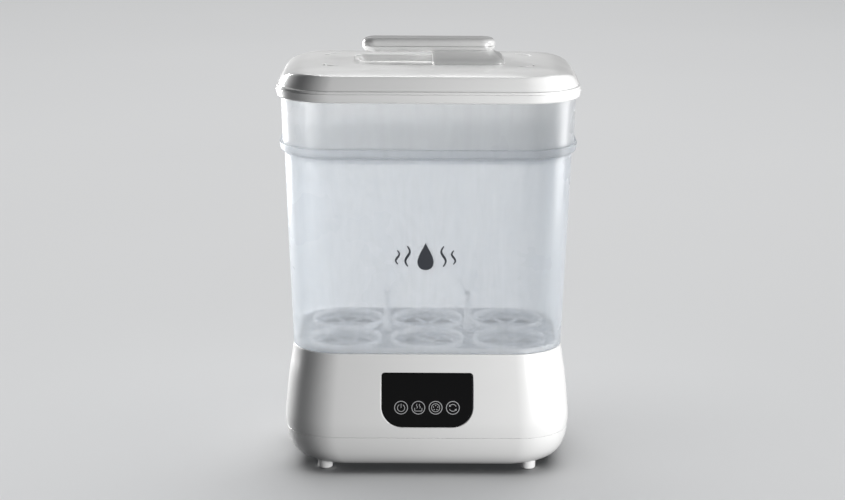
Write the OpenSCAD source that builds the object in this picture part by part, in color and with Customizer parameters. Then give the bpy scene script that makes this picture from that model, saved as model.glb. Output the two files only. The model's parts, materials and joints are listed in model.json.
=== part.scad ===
// Electric bottle steriliser and dryer: a heating base, a translucent chamber
// with a bottle rack, a translucent upper tray and a lid with a raised grip.
// Millimetres, +Z up, origin on the floor under the middle of the base.

/* [Body outline] */
// Overall width, at the lid rim
body_w = 290; // [280:1:300]
// Overall depth, at the lid rim
body_d = 189; // [184:1:196]
// Corner radius of the outline at the lid rim
corner_r = 52.5; // [46:0.5:58]
// Wall of the translucent mouldings
clear_wall = 2.2; // [1.8:0.1:2.6]

/* [Heights above the floor] */
// Underside of the bottom cover
cover_z = 7.8; // [7:0.1:8.6]
// Seam between bottom cover and base housing
seam_z = 39.7; // [38:0.1:41]
// Top edge of the base housing
base_z = 122; // [121:0.5:123]
// Underside of the chamber collar
collar_lo = 315.5; // [314:0.5:317]
// Top of the chamber collar
collar_hi = 323; // [322:0.5:325]
// Lower edge of the lid rim
rim_lo = 367; // [366:0.5:368]
// Upper edge of the lid rim
rim_hi = 376; // [375:0.5:377]

/* [Lid and grip] */
// Rise of the lid above its rim
lid_rise = 18.8; // [17:0.2:20]
// Where the lid's top starts to fall towards its two ends
end_x = 79; // [78:0.5:84]
// How far the lid's top falls at the ends
end_fall = 30; // [24:1:32]
// How far the lid's top falls towards front and back
side_fall = 3.3; // [2:0.1:4]
// Half length of the grip
grip_a = 63.8; // [58:0.2:68]
// Half depth of the grip
grip_b = 15; // [13:0.5:17]
// Height of the grip's underside above the lid
grip_gap = 8.7; // [8:0.1:10]
// Thickness of the grip
grip_t = 13.5; // [12:0.5:15]
// Half length of the pedestal and finger scoop
foot_a = 72.5; // [71:0.5:76]
// Half depth of the pedestal and finger scoop
foot_b = 35; // [32:0.5:38]
// Corner radius of the pedestal and of the finger scoop
step_r = 12; // [10:1:13]
// Depth of the finger scoop at its back wall
scoop_d = 5.6; // [4:0.2:7]
// Where the pedestal ends and the scoop begins
split_x = 3.7; // [0:0.1:8]

/* [Control panel] */
// Half width of the black lens
lens_a = 43.7; // [40:0.1:46]
// Height of the black lens
lens_h = 53.2; // [50:0.2:54]
// Height of the lens centre above the floor
lens_z = 77.6; // [77:0.1:79.5]
// Backward lean of the lens in degrees
lens_lean = 5.7; // [5:0.1:6.5]
// Spacing of the touch icons
icon_pitch = 16.6; // [15:0.1:18]
// Radius of an icon ring
icon_r = 6.6; // [5:0.1:7]

/* [Heating and drying] */
// Radius of the heating plate's flange
plate_r = 62; // [61:0.5:64]
// Distance of the heating plate from the middle
plate_x = -42; // [-44:1:-40]
// Blower position across the base
fan_x = 44; // [43:1:45]
// Blower position front to back
fan_y = 8; // [7:1:9]
// Number of impeller blades
blades = 24; // [12:1:30]
// Motor shaft radius
shaft_r = 2; // [1.5:0.1:2.5]
// Running clearance of the shaft in its bearing
shaft_gap = 0.05; // [0.02:0.01:0.09]

/* [Rack and tray] */
// Spacing of the bottle places across the rack
cup_dx = 80; // [78:1:80]
// Spacing of the bottle places front to back
cup_dy = 72; // [71.8:0.1:72.4]
// Height of the Y posts above the rack plate
post_h = 57; // [45:1:70]

/* [Feet] */
// Distance of each foot from the middle, across
foot_x = 99.5; // [96:0.5:101]
// Distance of each foot from the middle, front to back
foot_y = 57; // [54:0.5:58]
// Radius of a foot
foot_r = 7.3; // [6.5:0.1:7.6]

/* [Hidden] */
$fn = 48;

A0 = body_w / 2;
B0 = body_d / 2;
NC = 8;
deck_z = 112.5;               // top of the basin's deck
lid_z = rim_hi + lid_rise;    // flat middle of the lid
grip_z0 = lid_z + grip_gap;   // underside of the grip
part_z = grip_z0 + 6;         // parting line of the grip
grip_z1 = grip_z0 + grip_t;   // top of the grip
boss_xy = [[106, 30], [-106, 30], [-106, -30], [106, -30]];
stand_xy = [[-92, 10], [-18, 40], [-92, -18], [-18, -34]];
duct = [50, -68, 86, -44];    // inside of the air duct, x and y
bay = [48, 68];               // middle of the filter bay, x and z
inlet = [-70, 66];            // middle of the mains inlet, x and z
white = "white";
clear = "lightcyan";

// ---- outlines and lofts ----
// rounded rectangle at height z: half width a, half depth b, corner radius r
function rr(a, b, r, z, n = NC) = [for (q = [0:3]) for (k = [0:n])
    let (t = 90 * q + 90 * k / n, sx = (q == 0 || q == 3) ? 1 : -1, sy = q < 2 ? 1 : -1)
    [sx * (a - r) + r * cos(t), sy * (b - r) + r * sin(t), z]];
// the body's outline pulled in by i
function ring(i, z) = rr(A0 - i, B0 - i, corner_r - 0.36 * i, z);
function rings(list) = [for (p = list) ring(p[0], p[1])];
// height of the lid's top: flat in the middle, rounded off towards both ends,
// front and back
function smin(a, b, k) = let (h = min(1, max(0, 0.5 + 0.5 * (b - a) / k))) b * (1 - h) + a * h - k * h * (1 - h);
function fall_x(x) = let (u = min(0.995, max(0, (abs(x) - end_x) / (A0 + 1 - end_x)))) end_fall * (1 - pow(1 - pow(u, 3.8), 1 / 2.8));
function fall_y(y) = side_fall * pow(max(0, (abs(y) - 46.5) / 36.6), 2);
function top_z(p) = lid_z - fall_x(p[0]) - fall_y(p[1]);
// ring of the lid: on its bevel at height z, but never above its top lowered by o
function lid_ring(i, z, o = 0) = [for (p = ring(i, z)) [p[0], p[1], smin(z, top_z(p) - o, 2.3)]];
function flat(l) = [for (a = l) for (b = a) b];
function sides(n, m) = [for (j = [0:m - 2]) for (k = [0:n - 1]) let (k2 = (k + 1) % n)
    each [[j * n + k, (j + 1) * n + k, (j + 1) * n + k2],
          [j * n + k, (j + 1) * n + k2, j * n + k2]]];
// closed solid through rings, lowest first
module loft(rs) {
    n = len(rs[0]); m = len(rs);
    polyhedron(points = flat(rs), faces = concat([[for (k = [0:n - 1]) k]],
        sides(n, m), [[for (k = [n - 1:-1:0]) (m - 1) * n + k]]), convexity = 6);
}
// hollow wall: rings go up the outside and come back down the inside
module wall(rs) {
    n = len(rs[0]); m = len(rs);
    polyhedron(points = flat(rs), faces = concat(sides(n, m),
        [for (k = [0:n - 1]) let (k2 = (k + 1) % n)
            each [[(m - 1) * n + k, k, k2], [(m - 1) * n + k, k2, (m - 1) * n + k2]]]),
        convexity = 10);
}
module slot(p, q, r, h) {
    hull() {
        translate(p) cylinder(r = r, h = h, $fn = 12);
        translate(q) cylinder(r = r, h = h, $fn = 12);
    }
}
module block(lo, hi) { translate(lo) cube([hi[0] - lo[0], hi[1] - lo[1], hi[2] - lo[2]]); }

// ---- lens outline: small corners above, large corners below ----
function lens_pts(a, h, r1, r2) = concat(
    [for (k = [0:6]) let (t = 90 * k / 6) [a - r1 + r1 * cos(t), h / 2 - r1 + r1 * sin(t)]],
    [for (k = [0:6]) let (t = 90 + 90 * k / 6) [-a + r1 + r1 * cos(t), h / 2 - r1 + r1 * sin(t)]],
    [for (k = [0:10]) let (t = 180 + 90 * k / 10) [-a + r2 + r2 * cos(t), -h / 2 + r2 + r2 * sin(t)]],
    [for (k = [0:10]) let (t = 270 + 90 * k / 10) [a - r2 + r2 * cos(t), -h / 2 + r2 + r2 * sin(t)]]);
// places children on the front face, x across, y up the face, z outward
module on_front() { translate([0, -(B0 - 8.9), lens_z]) rotate([90 - lens_lean, 0, 0]) children(); }
// the same on the back face, around x, z
module on_back(x, z, y) { translate([x, y, z]) rotate([0, 0, 180]) rotate([86, 0, 0]) children(); }

// ---- base ----
module base_housing() {
    color(white) difference() {
        union() {
            difference() {
                union() {
                    loft(rings([[7.0, seam_z + 0.2], [6.5, 45], [6.2, 52], [6.8, 62], [7.7, 72],
                        [8.7, 82], [9.8, 92], [11.2, 102], [12.7, 111], [14.1, base_z]]));
                    loft(rings([[17.2, base_z - 2], [17.6, base_z + 4.6]]));
                }
                // hollow under the deck
                loft(rings([[10, seam_z - 1], [9.5, 52], [10.8, 72], [13, 92], [15.4, 104], [17, 109.5]]));
                // basin above the deck
                loft(rings([[19.2, deck_z], [19.2, base_z + 6]]));
            }
            // frame behind the lens
            intersection() {
                on_front() translate([0, 0, -5.4]) linear_extrude(3.2)
                    polygon(lens_pts(lens_a + 4, lens_h + 6, 5, 22));
                block([-60, -92, 45], [60, -60, 109.5]);
            }
            // sleeve for the filter drawer
            block([bay[0] - 36, 54, bay[1] - 20], [bay[0] + 36, 85.4, bay[1] + 19.5]);
            // boss around the mains inlet
            block([inlet[0] - 20, 76, inlet[1] - 16], [inlet[0] + 20, 84.5, inlet[1] + 16]);
            for (p = boss_xy) translate([p[0], p[1], seam_z + 2.6]) cylinder(r = 5, h = 110 - seam_z - 2.6, $fn = 24);
        }
        // lens pocket and the window behind it
        on_front() translate([0, 0, -2.2]) linear_extrude(8) polygon(lens_pts(lens_a + 0.2, lens_h + 0.4, 3.2, 20.2));
        on_front() translate([0, 0, -12]) linear_extrude(14) polygon(lens_pts(lens_a - 3, lens_h - 6, 2, 17));
        // opening of the filter bay, and its wider mouth for the cover
        block([bay[0] - 34.5, 50, bay[1] - 18.5], [bay[0] + 34.5, 95, bay[1] + 18]);
        on_back(bay[0], bay[1], B0 - 7.45) translate([-37.2, -20.7, -2.4]) cube([74.4, 41.4, 10]);
        // mains inlet pocket and cut-out
        block([inlet[0] - 17.2, 85.2, inlet[1] - 13.2], [inlet[0] + 17.2, 95, inlet[1] + 13.2]);
        block([inlet[0] - 14, 70, inlet[1] - 10], [inlet[0] + 14, 90, inlet[1] + 10]);
        // heating plate opening and its screw holes
        translate([plate_x, 0, 100]) cylinder(r = 57, h = 20, $fn = 64);
        for (t = [45:90:315]) translate([plate_x, 0, 108]) rotate(t) translate([61.2, 0, 0]) cylinder(r = 1.8, h = 3.8, $fn = 13);
        // warm air outlet
        block([duct[0], duct[1], 100], [duct[2], duct[3], 120]);
        // screw holes in the bosses
        for (p = boss_xy) translate([p[0], p[1], seam_z]) cylinder(r = 1.8, h = 22, $fn = 13);
        // vent slots on the back
        for (k = [0:7]) hull() {
            translate([-28 + 5 * k, 75, 64]) rotate([-90, 0, 0]) cylinder(r = 1.2, h = 20, $fn = 12);
            translate([-28 + 5 * k, 75, 84]) rotate([-90, 0, 0]) cylinder(r = 1.2, h = 20, $fn = 12);
        }
    }
}
module bottom_cover() {
    color(white) difference() {
        union() {
            difference() {
                loft(rings([[26, cover_z], [21.6, 9.6], [18, 12.2], [14.9, 15.6], [12.2, 19.8],
                    [10.2, 24.5], [8.6, 30], [7.6, 35], [7.0, seam_z]]));
                loft(rings([[28, 10.4], [20.5, 14.6], [16.4, 19], [12.8, 25.4], [10.6, 31.6], [9.6, seam_z + 1]]));
            }
            for (p = boss_xy) translate([p[0], p[1], 9.5]) cylinder(r = 5, h = seam_z - 7.2, $fn = 24);
            for (x = [-1, 1]) for (y = [-1, 1]) translate([x * foot_x, y * foot_y, 9.6]) cylinder(r = 9.6, h = 3.8, $fn = 32);
            for (p = stand_xy) translate([p[0], p[1], 9.6]) cylinder(r = 3.2, h = 14.3, $fn = 20);
            // cradle of the fan motor
            translate([fan_x, fan_y, 9.6]) cylinder(r = 20, h = 3, $fn = 32);
        }
        for (p = boss_xy) {
            translate([p[0], p[1], 5]) cylinder(r = 4, h = 8, $fn = 20);
            translate([p[0], p[1], 5]) cylinder(r = 2, h = 45, $fn = 13);
        }
        for (x = [-1, 1]) for (y = [-1, 1]) translate([x * foot_x, y * foot_y, 5]) cylinder(r = foot_r + 0.3, h = 6.4, $fn = 32);
        for (p = stand_xy) translate([p[0], p[1], 14]) cylinder(r = 1.5, h = 12, $fn = 13);
        // intake grille below the blower
        for (k = [0:9]) slot([fan_x - 27 + 6 * k, -42, 0], [fan_x - 27 + 6 * k, -18, 0], 1.4, 20);
    }
}
module housing_screws() {
    color("silver") for (p = boss_xy) translate([p[0], p[1], 0]) {
        translate([0, 0, 10.4]) cylinder(r = 3.6, h = 2.5);
        translate([0, 0, 12.8]) cylinder(r = 1.6, h = 44);
    }
}
module feet() {
    color(white) for (x = [-1, 1]) for (y = [-1, 1]) translate([x * foot_x, y * foot_y, 0]) difference() {
        union() {
            translate([0, 0, 1.4]) cylinder(r1 = foot_r - 0.2, r2 = foot_r, h = 9.9);
            translate([0, 0, 0.6]) cylinder(r1 = foot_r - 0.9, r2 = foot_r - 0.2, h = 0.8);
        }
        translate([0, 0, -1]) cylinder(r = 5.6, h = 3.4);
    }
}
module foot_pads() {
    color("gainsboro") for (x = [-1, 1]) for (y = [-1, 1]) translate([x * foot_x, y * foot_y, 0]) cylinder(r = 5.5, h = 2.3);
}

// ---- controls ----
module touch_panel() {
    color("black") on_front() translate([0, 0, -1.9]) linear_extrude(2.1) polygon(lens_pts(lens_a, lens_h, 3, 20));
}
module touch_icons() {
    color("lightgrey") on_front() for (k = [-1.5:1:1.5]) translate([k * icon_pitch, -7.2, 0.22]) difference() {
        cylinder(r = icon_r, h = 0.2);
        translate([0, 0, -1]) cylinder(r = icon_r - 0.7, h = 3);
    }
}
module touch_board() {
    color("darkgreen") on_front() union() {
        translate([-38, -22, -7.6]) cube([76, 44, 1.6]);
        for (k = [-1.5:1:1.5]) translate([k * icon_pitch, -7.2, -6.1]) cylinder(r = 5, h = 4);
        translate([-20, 8, -9.6]) cube([14, 8, 2.1]);
    }
}
module control_board() {
    color("darkgreen") difference() {
        block([-98, -40, 24], [-12, 46, 25.6]);
        for (p = stand_xy) translate([p[0], p[1], 20]) cylinder(r = 1.7, h = 10);
    }
}
module board_parts() {
    color("dimgrey") {
        block([-84, 22, 25.7], [-64, 38, 41]);
        block([-58, 24, 25.7], [-34, 42, 47]);
        block([-86, -36, 25.7], [-54, -30, 47]);
        translate([-40, -24, 25.7]) cylinder(r = 6.3, h = 18);
        translate([-26, -8, 25.7]) cylinder(r = 5, h = 14);
        block([-82, -8, 25.7], [-62, 0, 39]);
        block([-50, 0, 25.7], [-32, 10, 36]);
    }
}
module board_screws() {
    color("silver") for (p = stand_xy) translate([p[0], p[1], 0]) {
        translate([0, 0, 25.7]) cylinder(r = 2.8, h = 1.8);
        translate([0, 0, 15.4]) cylinder(r = 1.3, h = 10.4);
    }
}
module mains_inlet() {
    color("black") difference() {
        union() {
            block([inlet[0] - 17, 85.3, inlet[1] - 13], [inlet[0] + 17, 87, inlet[1] + 13]);
            block([inlet[0] - 13.8, 66, inlet[1] - 9.8], [inlet[0] + 13.8, 85.4, inlet[1] + 9.8]);
        }
        for (s = [-1, 1]) translate([inlet[0] + 5 * s, 90, inlet[1]]) rotate([90, 0, 0]) cylinder(r = 6.4, h = 17);
        block([inlet[0] - 5, 73, inlet[1] - 6.4], [inlet[0] + 5, 90, inlet[1] + 6.4]);
        for (s = [-1, 1]) translate([inlet[0] + 4.3 * s, 92, inlet[1]]) rotate([90, 0, 0]) cylinder(r = 1.3, h = 40);
    }
}
module inlet_pins() {
    color("gold") for (s = [-1, 1]) translate([inlet[0] + 4.3 * s, 84, inlet[1]]) rotate([90, 0, 0]) cylinder(r = 1.2, h = 24);
}

// ---- heating ----
module heating_plate() {
    color("silver") translate([plate_x, 0, 0]) rotate_extrude($fn = 96) polygon([[0, 104], [50.2, 104],
        [52.2, 105], [54.8, 113.2], [plate_r, 113.2], [plate_r, 114.3], [54, 114.3], [51.2, 105.8], [49.8, 105.2], [0, 105.2]]);
}
module plate_gasket() {
    color("salmon") translate([plate_x, 0, 0]) rotate_extrude($fn = 96)
        polygon([[55.4, 112.55], [55.4, 109], [56.8, 109], [56.8, 112.55], [61, 112.55], [61, 113.15], [55.4, 113.15]]);
}
module plate_clamp() {
    color("silver") translate([plate_x, 0, 0]) difference() {
        translate([0, 0, 107.8]) cylinder(r = 65, h = 1.6, $fn = 96);
        translate([0, 0, 100]) cylinder(r = 57.6, h = 20, $fn = 96);
        for (t = [45:90:315]) rotate(t) translate([61.2, 0, 100]) cylinder(r = 1.8, h = 12);
    }
}
module plate_screws() {
    color("silver") translate([plate_x, 0, 0]) for (t = [45:90:315]) rotate(t) translate([61.2, 0, 0]) {
        translate([0, 0, 105.6]) cylinder(r = 3, h = 2.1);
        translate([0, 0, 107.6]) cylinder(r = 1.5, h = 4);
    }
}
module heating_element() {
    color("grey") translate([plate_x, 0, 100.5]) {
        rotate([0, 0, 25]) rotate_extrude(angle = 310, $fn = 96) translate([36, 0]) circle(r = 3.3);
        for (t = [25, -25]) rotate(t) translate([36, 0, 0]) {
            sphere(r = 3.3);
            translate([0, 0, -14]) cylinder(r = 3.3, h = 14);
            translate([0, 0, -22]) cylinder(r = 1.2, h = 9);
        }
    }
}
module thermostat() {
    color("dimgrey") translate([plate_x, 0, 0]) {
        translate([0, 0, 102.4]) cylinder(r = 11.5, h = 1.4);
        translate([0, 0, 94]) cylinder(r = 8, h = 8.6);
        for (s = [-1, 1]) block([-3, 4.5 * s - 0.5, 86], [3, 4.5 * s + 0.5, 94.2]);
    }
}
module thermal_fuse() {
    color("tan") translate([plate_x - 22, 0, 100.6]) rotate([90, 0, 0]) {
        translate([0, 0, -11]) cylinder(r = 2.6, h = 22);
        translate([0, 0, -18]) cylinder(r = 0.8, h = 36);
    }
}

// ---- drying ----
// scroll outline: radius grows round the impeller, then runs straight out to the front
function scroll(o) = concat(
    [for (k = [0:24]) let (t = -15 + 285 * k / 24, r = 41.8 - 6.3 * k / 24 + o) [fan_x + r * cos(t), fan_y + r * sin(t)]],
    [[fan_x + 8 - o, fan_y - 36 - o], [fan_x + 8 - o, -42.2], [fan_x + 40 + o, -42.2]]);
module fan_housing() {
    color("dimgrey") difference() {
        translate([0, 0, 32]) linear_extrude(28) polygon(scroll(0));
        translate([0, 0, 34]) linear_extrude(24) polygon([for (p = scroll(-1.6)) [p[0], p[1] < -41 ? -46 : p[1]]]);
        translate([fan_x, fan_y, 50]) cylinder(r = 24, h = 20);
        translate([fan_x, fan_y, 30]) cylinder(r = 7, h = 20);
    }
}
module fan_motor() {
    color("silver") translate([fan_x, fan_y, 0]) difference() {
        union() {
            translate([0, 0, 12.8]) cylinder(r = 17, h = 15);
            translate([0, 0, 27.7]) cylinder(r = 6, h = 3.8);
        }
        translate([0, 0, 16]) cylinder(r = shaft_r + shaft_gap, h = 20);
    }
}
module motor_shaft() {
    color("silver") translate([fan_x, fan_y, 17]) cylinder(r = shaft_r, h = 38);
}
module fan_impeller() {
    color("black") translate([fan_x, fan_y, 0]) difference() {
        union() {
            translate([0, 0, 36]) cylinder(r = 31, h = 1.8);
            translate([0, 0, 36]) cylinder(r = 7, h = 14);
            for (k = [0:blades - 1]) rotate(360 / blades * k) translate([23.5, 0, 37]) rotate(18) cube([7.4, 0.9, 17]);
            translate([0, 0, 53.4]) difference() {
                cylinder(r = 31.4, h = 1.6);
                translate([0, 0, -1]) cylinder(r = 23, h = 4);
            }
        }
        translate([0, 0, 30]) cylinder(r = shaft_r, h = 30);
    }
}
module air_duct() {
    color("gainsboro") difference() {
        block([duct[0] - 1.5, duct[1] - 1.5, 31], [duct[2] + 1.5, duct[3] + 1.5, 109.4]);
        block([duct[0], duct[1], 32.5], [duct[2], duct[3], 120]);
        block([fan_x + 9.8, -47, 34], [fan_x + 38.2, -36, 58]);
    }
}
module air_heater() {
    color("orange") union() {
        block([duct[0] + 0.4, duct[1] + 0.4, 64], [duct[0] + 2.4, duct[3] - 0.4, 84]);
        block([duct[2] - 2.4, duct[1] + 0.4, 64], [duct[2] - 0.4, duct[3] - 0.4, 84]);
        block([duct[0] + 1, duct[1] + 10.5, 67], [duct[2] - 1, duct[1] + 13.5, 81]);
        for (k = [0:9]) block([duct[0] + 4.4 + 2.9 * k, duct[1] + 1, 68], [duct[0] + 5.2 + 2.9 * k, duct[3] - 1, 80]);
    }
}
module outlet_cap() {
    color(white) difference() {
        block([duct[0] - 2, duct[1] - 2, deck_z + 0.05], [duct[2] + 2, duct[3] + 2, 118.2]);
        block([duct[0], duct[1], 100], [duct[2], duct[3], 116.8]);
        for (k = [0:5]) block([duct[0] + 2 + 5.6 * k, duct[3] - 4, 114], [duct[0] + 5.2 + 5.6 * k, duct[3] + 5, 116.4]);
    }
}
module filter_drawer() {
    color(white) difference() {
        union() {
            intersection() {
                on_back(bay[0], bay[1], B0 - 7.45) translate([-36.8, -20.3, -2]) cube([73.6, 40.6, 2.3]);
                block([-20, 70, 40], [120, 93, 100]);
            }
            block([bay[0] - 33.8, 56, bay[1] - 17.8], [bay[0] + 33.8, 85.6, bay[1] + 17]);
        }
        // room for the filter, open on its inner side
        block([bay[0] - 31.8, 50, bay[1] - 15.8], [bay[0] + 31.8, 83.4, bay[1] + 15]);
        // air slots in the cover
        for (k = [0:8]) block([bay[0] - 27 + 6 * k - 1.2, 80, bay[1] - 11], [bay[0] - 27 + 6 * k + 1.2, 95, bay[1] + 8]);
        // finger pull in the top edge of the cover
        block([bay[0] - 9, 86.2, bay[1] + 15.5], [bay[0] + 9, 95, bay[1] + 25]);
    }
}
module air_filter() {
    color("ivory") translate([bay[0], 0, bay[1] - 15.4]) linear_extrude(30) polygon(concat(
        [for (k = [0:20]) [-31 + 3.1 * k, k % 2 == 0 ? 58 : 63]],
        [for (k = [20:-1:0]) [-31 + 3.1 * k, k % 2 == 0 ? 77 : 82]]));
}

// ---- rack ----
module bottle_rack() {
    xs = [-cup_dx, 0, cup_dx]; ys = [-cup_dy / 2, cup_dy / 2];
    color(clear) union() {
        difference() {
            loft([rr(A0 - 20.8, B0 - 20.8, 44, 112.9), rr(A0 - 20.6, B0 - 20.6, 44, 121.6)]);
            loft([rr(A0 - 22.8, B0 - 22.8, 42, 112), rr(A0 - 22.8, B0 - 22.8, 42, 119.2)]);
            for (x = xs) for (y = ys) translate([x, y, 118]) cylinder(r = 26, h = 10, $fn = 36);
            for (x = [-112, -40, 40, 112]) for (s = [-1, 1])
                slot([x - 3, s * 62 * (abs(x) > 100 ? 0.12 : 1), 110], [x + 3, s * 62 * (abs(x) > 100 ? 0.12 : 1), 110], 2, 12);
        }
        // bars that carry each bottle's rim
        for (x = xs) for (y = ys) for (t = [0, 60, 120]) translate([x, y, 119.1]) rotate(t) translate([-27, -1.2, 0]) cube([54, 2.4, 2.4]);
        // Y posts between the bottle places
        for (s = [-1, 1]) translate([s * cup_dx / 2, 0, 119.5]) {
            hull() {
                translate([-5, -1.4, 0]) cube([10, 2.8, 1]);
                translate([-2.6, -1.1, post_h - 14]) cube([5.2, 2.2, 1]);
            }
            hull() {
                translate([-1.2, -5, 0]) cube([2.4, 10, 1]);
                translate([-1.1, -2.6, post_h - 14]) cube([2.2, 5.2, 1]);
            }
            for (d = [-1, 1]) hull() {
                translate([d * 1.2 - 1.3, -1.1, post_h - 16]) cube([2.6, 2.2, 2]);
                translate([d * 9 - 1.3, -1.1, post_h]) cube([2.6, 2.2, 1.6]);
            }
        }
    }
}

// a low ring round each bottle place
module rack_rings() {
    color(clear) for (x = [-cup_dx, 0, cup_dx]) for (y = [-cup_dy / 2, cup_dy / 2]) translate([x, y, 121.62]) difference() {
        cylinder(r = 35.7, h = 6.4);
        translate([0, 0, -1]) cylinder(r = 34, h = 10);
    }
}

// ---- chamber and tray ----
module chamber() {
    t = clear_wall;
    color(clear) wall(rings([[14.4, base_z + 0.4], [14.1, base_z + 10], [9.5, 256], [7.6, collar_lo - 2.4], [7.1, collar_lo - 0.9],
        [4.4, collar_lo - 0.3], [4.1, collar_lo + 0.4], [2.9, collar_hi - 0.4], [3.3, collar_hi], [5.2, collar_hi],
        [5.6, collar_lo - 1.6], [9.6, collar_lo - 3.4], [9.8, collar_lo - 4.4], [9.5 + t, 256], [14.1 + t, base_z + 10], [14.4 + t, base_z + 0.4]]));
}
module upper_tray() {
    t = clear_wall;
    color(clear) difference() {
        loft(rings([[10.9, 307.6], [10.4, collar_lo - 2.6], [6.3, collar_lo - 1.0], [6.0, collar_hi], [4.5, rim_hi - 3.4]]));
        loft(rings([[6.0 + t + 4.2, 312], [6.3 + t + 2, 314.5], [6.3 + t, 318], [4.5 + t, rim_hi - 2]]));
        loft(rings([[13.2, 306], [13.2, 309.4]]));
        // steam slots through the floor
        for (x = [-96:24:96]) for (y = [-48:24:48]) if (!(abs(x) > 90 && abs(y) > 40))
            slot([x - 6, y, 300], [x + 6, y, 300], 2.6, 20);
    }
}

// ---- lid ----
module pill(a, b, r, h) { linear_extrude(h) polygon([for (p = rr(a, b, r, 0, 10)) [p[0], p[1]]]); }
// everything above the scoop's sloping floor, lowered by o
module scoop_side(o) {
    translate([0, -foot_b, lid_z - 0.4 - o]) rotate([-atan(scoop_d / (2 * foot_b - 3)), 0, 0])
        translate([-100, -40, 0]) cube([200, 180, 40]);
}
module lid_shell() {
    color(white) difference() {
        union() {
            difference() {
                loft(concat(rings([[1.8, rim_lo], [1.3, rim_lo + 0.8], [0, rim_hi - 0.6], [0.4, rim_hi]]),
                    [for (q = [[1.9, 1.4], [2.6, 2.6], [4.2, 6], [6.2, 10.4], [7.3, 12.8], [8.3, 15.1], [9.3, 17.4],
                        [10.6, 23], [12.6, 40], [16, 70], [22, 90], [31, 90], [42, 90]]) lid_ring(q[0], rim_hi + q[1])],
                    [ring(62, lid_z)]));
                loft(concat(rings([[3.8, rim_lo - 1], [3.8, rim_hi - 2.8], [6.5, rim_hi - 2.8]]),
                    [for (q = [[7.0, 2.6], [7.6, 5.6], [9.2, 10], [10.7, 13.4], [12.2, 19], [14.5, 40], [19, 80], [28, 90], [42, 90]])
                        lid_ring(q[0], rim_hi + q[1], 2.7)],
                    [ring(62, lid_z - 2.7)]));
            }
            // underside of the finger scoop
            intersection() {
                translate([0, 0, lid_z - scoop_d - 4]) pill(foot_a + 2.5, foot_b + 2.5, step_r + 2.5, scoop_d + 3);
                block([-100, -60, 380], [split_x + 2, 60, 400]);
                scoop_side(2.4);
            }
        }
        // finger scoop
        intersection() {
            translate([0, 0, lid_z - scoop_d - 2]) pill(foot_a, foot_b, step_r, scoop_d + 8);
            block([-100, -60, 380], [split_x, 60, 410]);
            scoop_side(0);
        }
        // crescent steam vents, one near each corner
        for (s = [-1, 1]) for (q = [-1, 1]) for (k = [0:4]) hull() for (d = [0, 1]) let (t = 15 + 14.4 * (k + d))
            translate([s * (86 + 14 * cos(t)), q * (29 + 14 * sin(t)), lid_z - 8]) cylinder(r = k + d == 0 || k + d == 5 ? 0.7 : 1.3, h = 14, $fn = 8);
        for (x = [22, 52]) translate([x, 0, lid_z - 10]) cylinder(r = 2.1, h = 20, $fn = 16);
    }
}
module handle_base() {
    color(white) difference() {
        union() {
            loft([rr(grip_a - 3.3, grip_b - 3.3, 10.5, grip_z0), rr(grip_a - 1.2, grip_b - 1.2, 12, grip_z0 + 1.3),
                rr(grip_a, grip_b, 13, grip_z0 + 4), rr(grip_a, grip_b, 13, part_z - 0.15)]);
            intersection() {
                loft([rr(foot_a, foot_b, step_r, lid_z + 0.05), rr(foot_a - 1.7, foot_b - 1.9, step_r - 0.5, lid_z + 0.7),
                    rr(foot_a - 4.1, foot_b - 7.6, step_r - 1.2, lid_z + 3), rr(foot_a - 7.1, foot_b - 13.6, step_r - 1.6, lid_z + 5.6),
                    rr(grip_a - 1.4, grip_b + 1.4, step_r - 1.4, lid_z + 8), rr(grip_a - 2.4, grip_b - 1.4, step_r - 0.8, grip_z0 + 1.2)]);
                block([split_x, -60, lid_z - 1], [100, 60, grip_z0 + 3]);
            }
        }
        for (x = [22, 52]) translate([x, 0, lid_z - 1]) cylinder(r = 2.1, h = 11, $fn = 16);
    }
}
module handle_cap() {
    color(white) loft([rr(grip_a, grip_b, 13, part_z + 0.15), rr(grip_a, grip_b, 13, part_z + 3),
        rr(grip_a - 0.8, grip_b - 0.8, 12.2, part_z + 5), rr(grip_a - 2.8, grip_b - 2.8, 10.4, grip_z1 - 1),
        rr(grip_a - 5.6, grip_b - 5.6, 8, grip_z1 - 0.2), rr(grip_a - 9, grip_b - 9, 5, grip_z1)]);
}
module handle_screws() {
    color("silver") for (x = [22, 52]) translate([x, 0, 0]) {
        translate([0, 0, lid_z - 5.1]) cylinder(r = 4, h = 2.4);
        translate([0, 0, lid_z - 2.8]) cylinder(r = 1.8, h = 11.6);
    }
}

base_housing();
bottom_cover();
housing_screws();
feet();
foot_pads();
touch_panel();
touch_icons();
touch_board();
control_board();
board_parts();
board_screws();
mains_inlet();
inlet_pins();
heating_plate();
plate_gasket();
plate_clamp();
plate_screws();
heating_element();
thermostat();
thermal_fuse();
fan_housing();
fan_motor();
motor_shaft();
fan_impeller();
air_duct();
air_heater();
outlet_cap();
filter_drawer();
air_filter();
bottle_rack();
rack_rings();
chamber();
upper_tray();
lid_shell();
handle_base();
handle_cap();
handle_screws();
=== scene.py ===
"""Looks of the electric bottle steriliser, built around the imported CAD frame. Lengths are typed in
millimetres and turned into metres where a mesh is made."""

import json
import math

import bmesh
import bpy
from mathutils import Matrix, Vector

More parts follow.
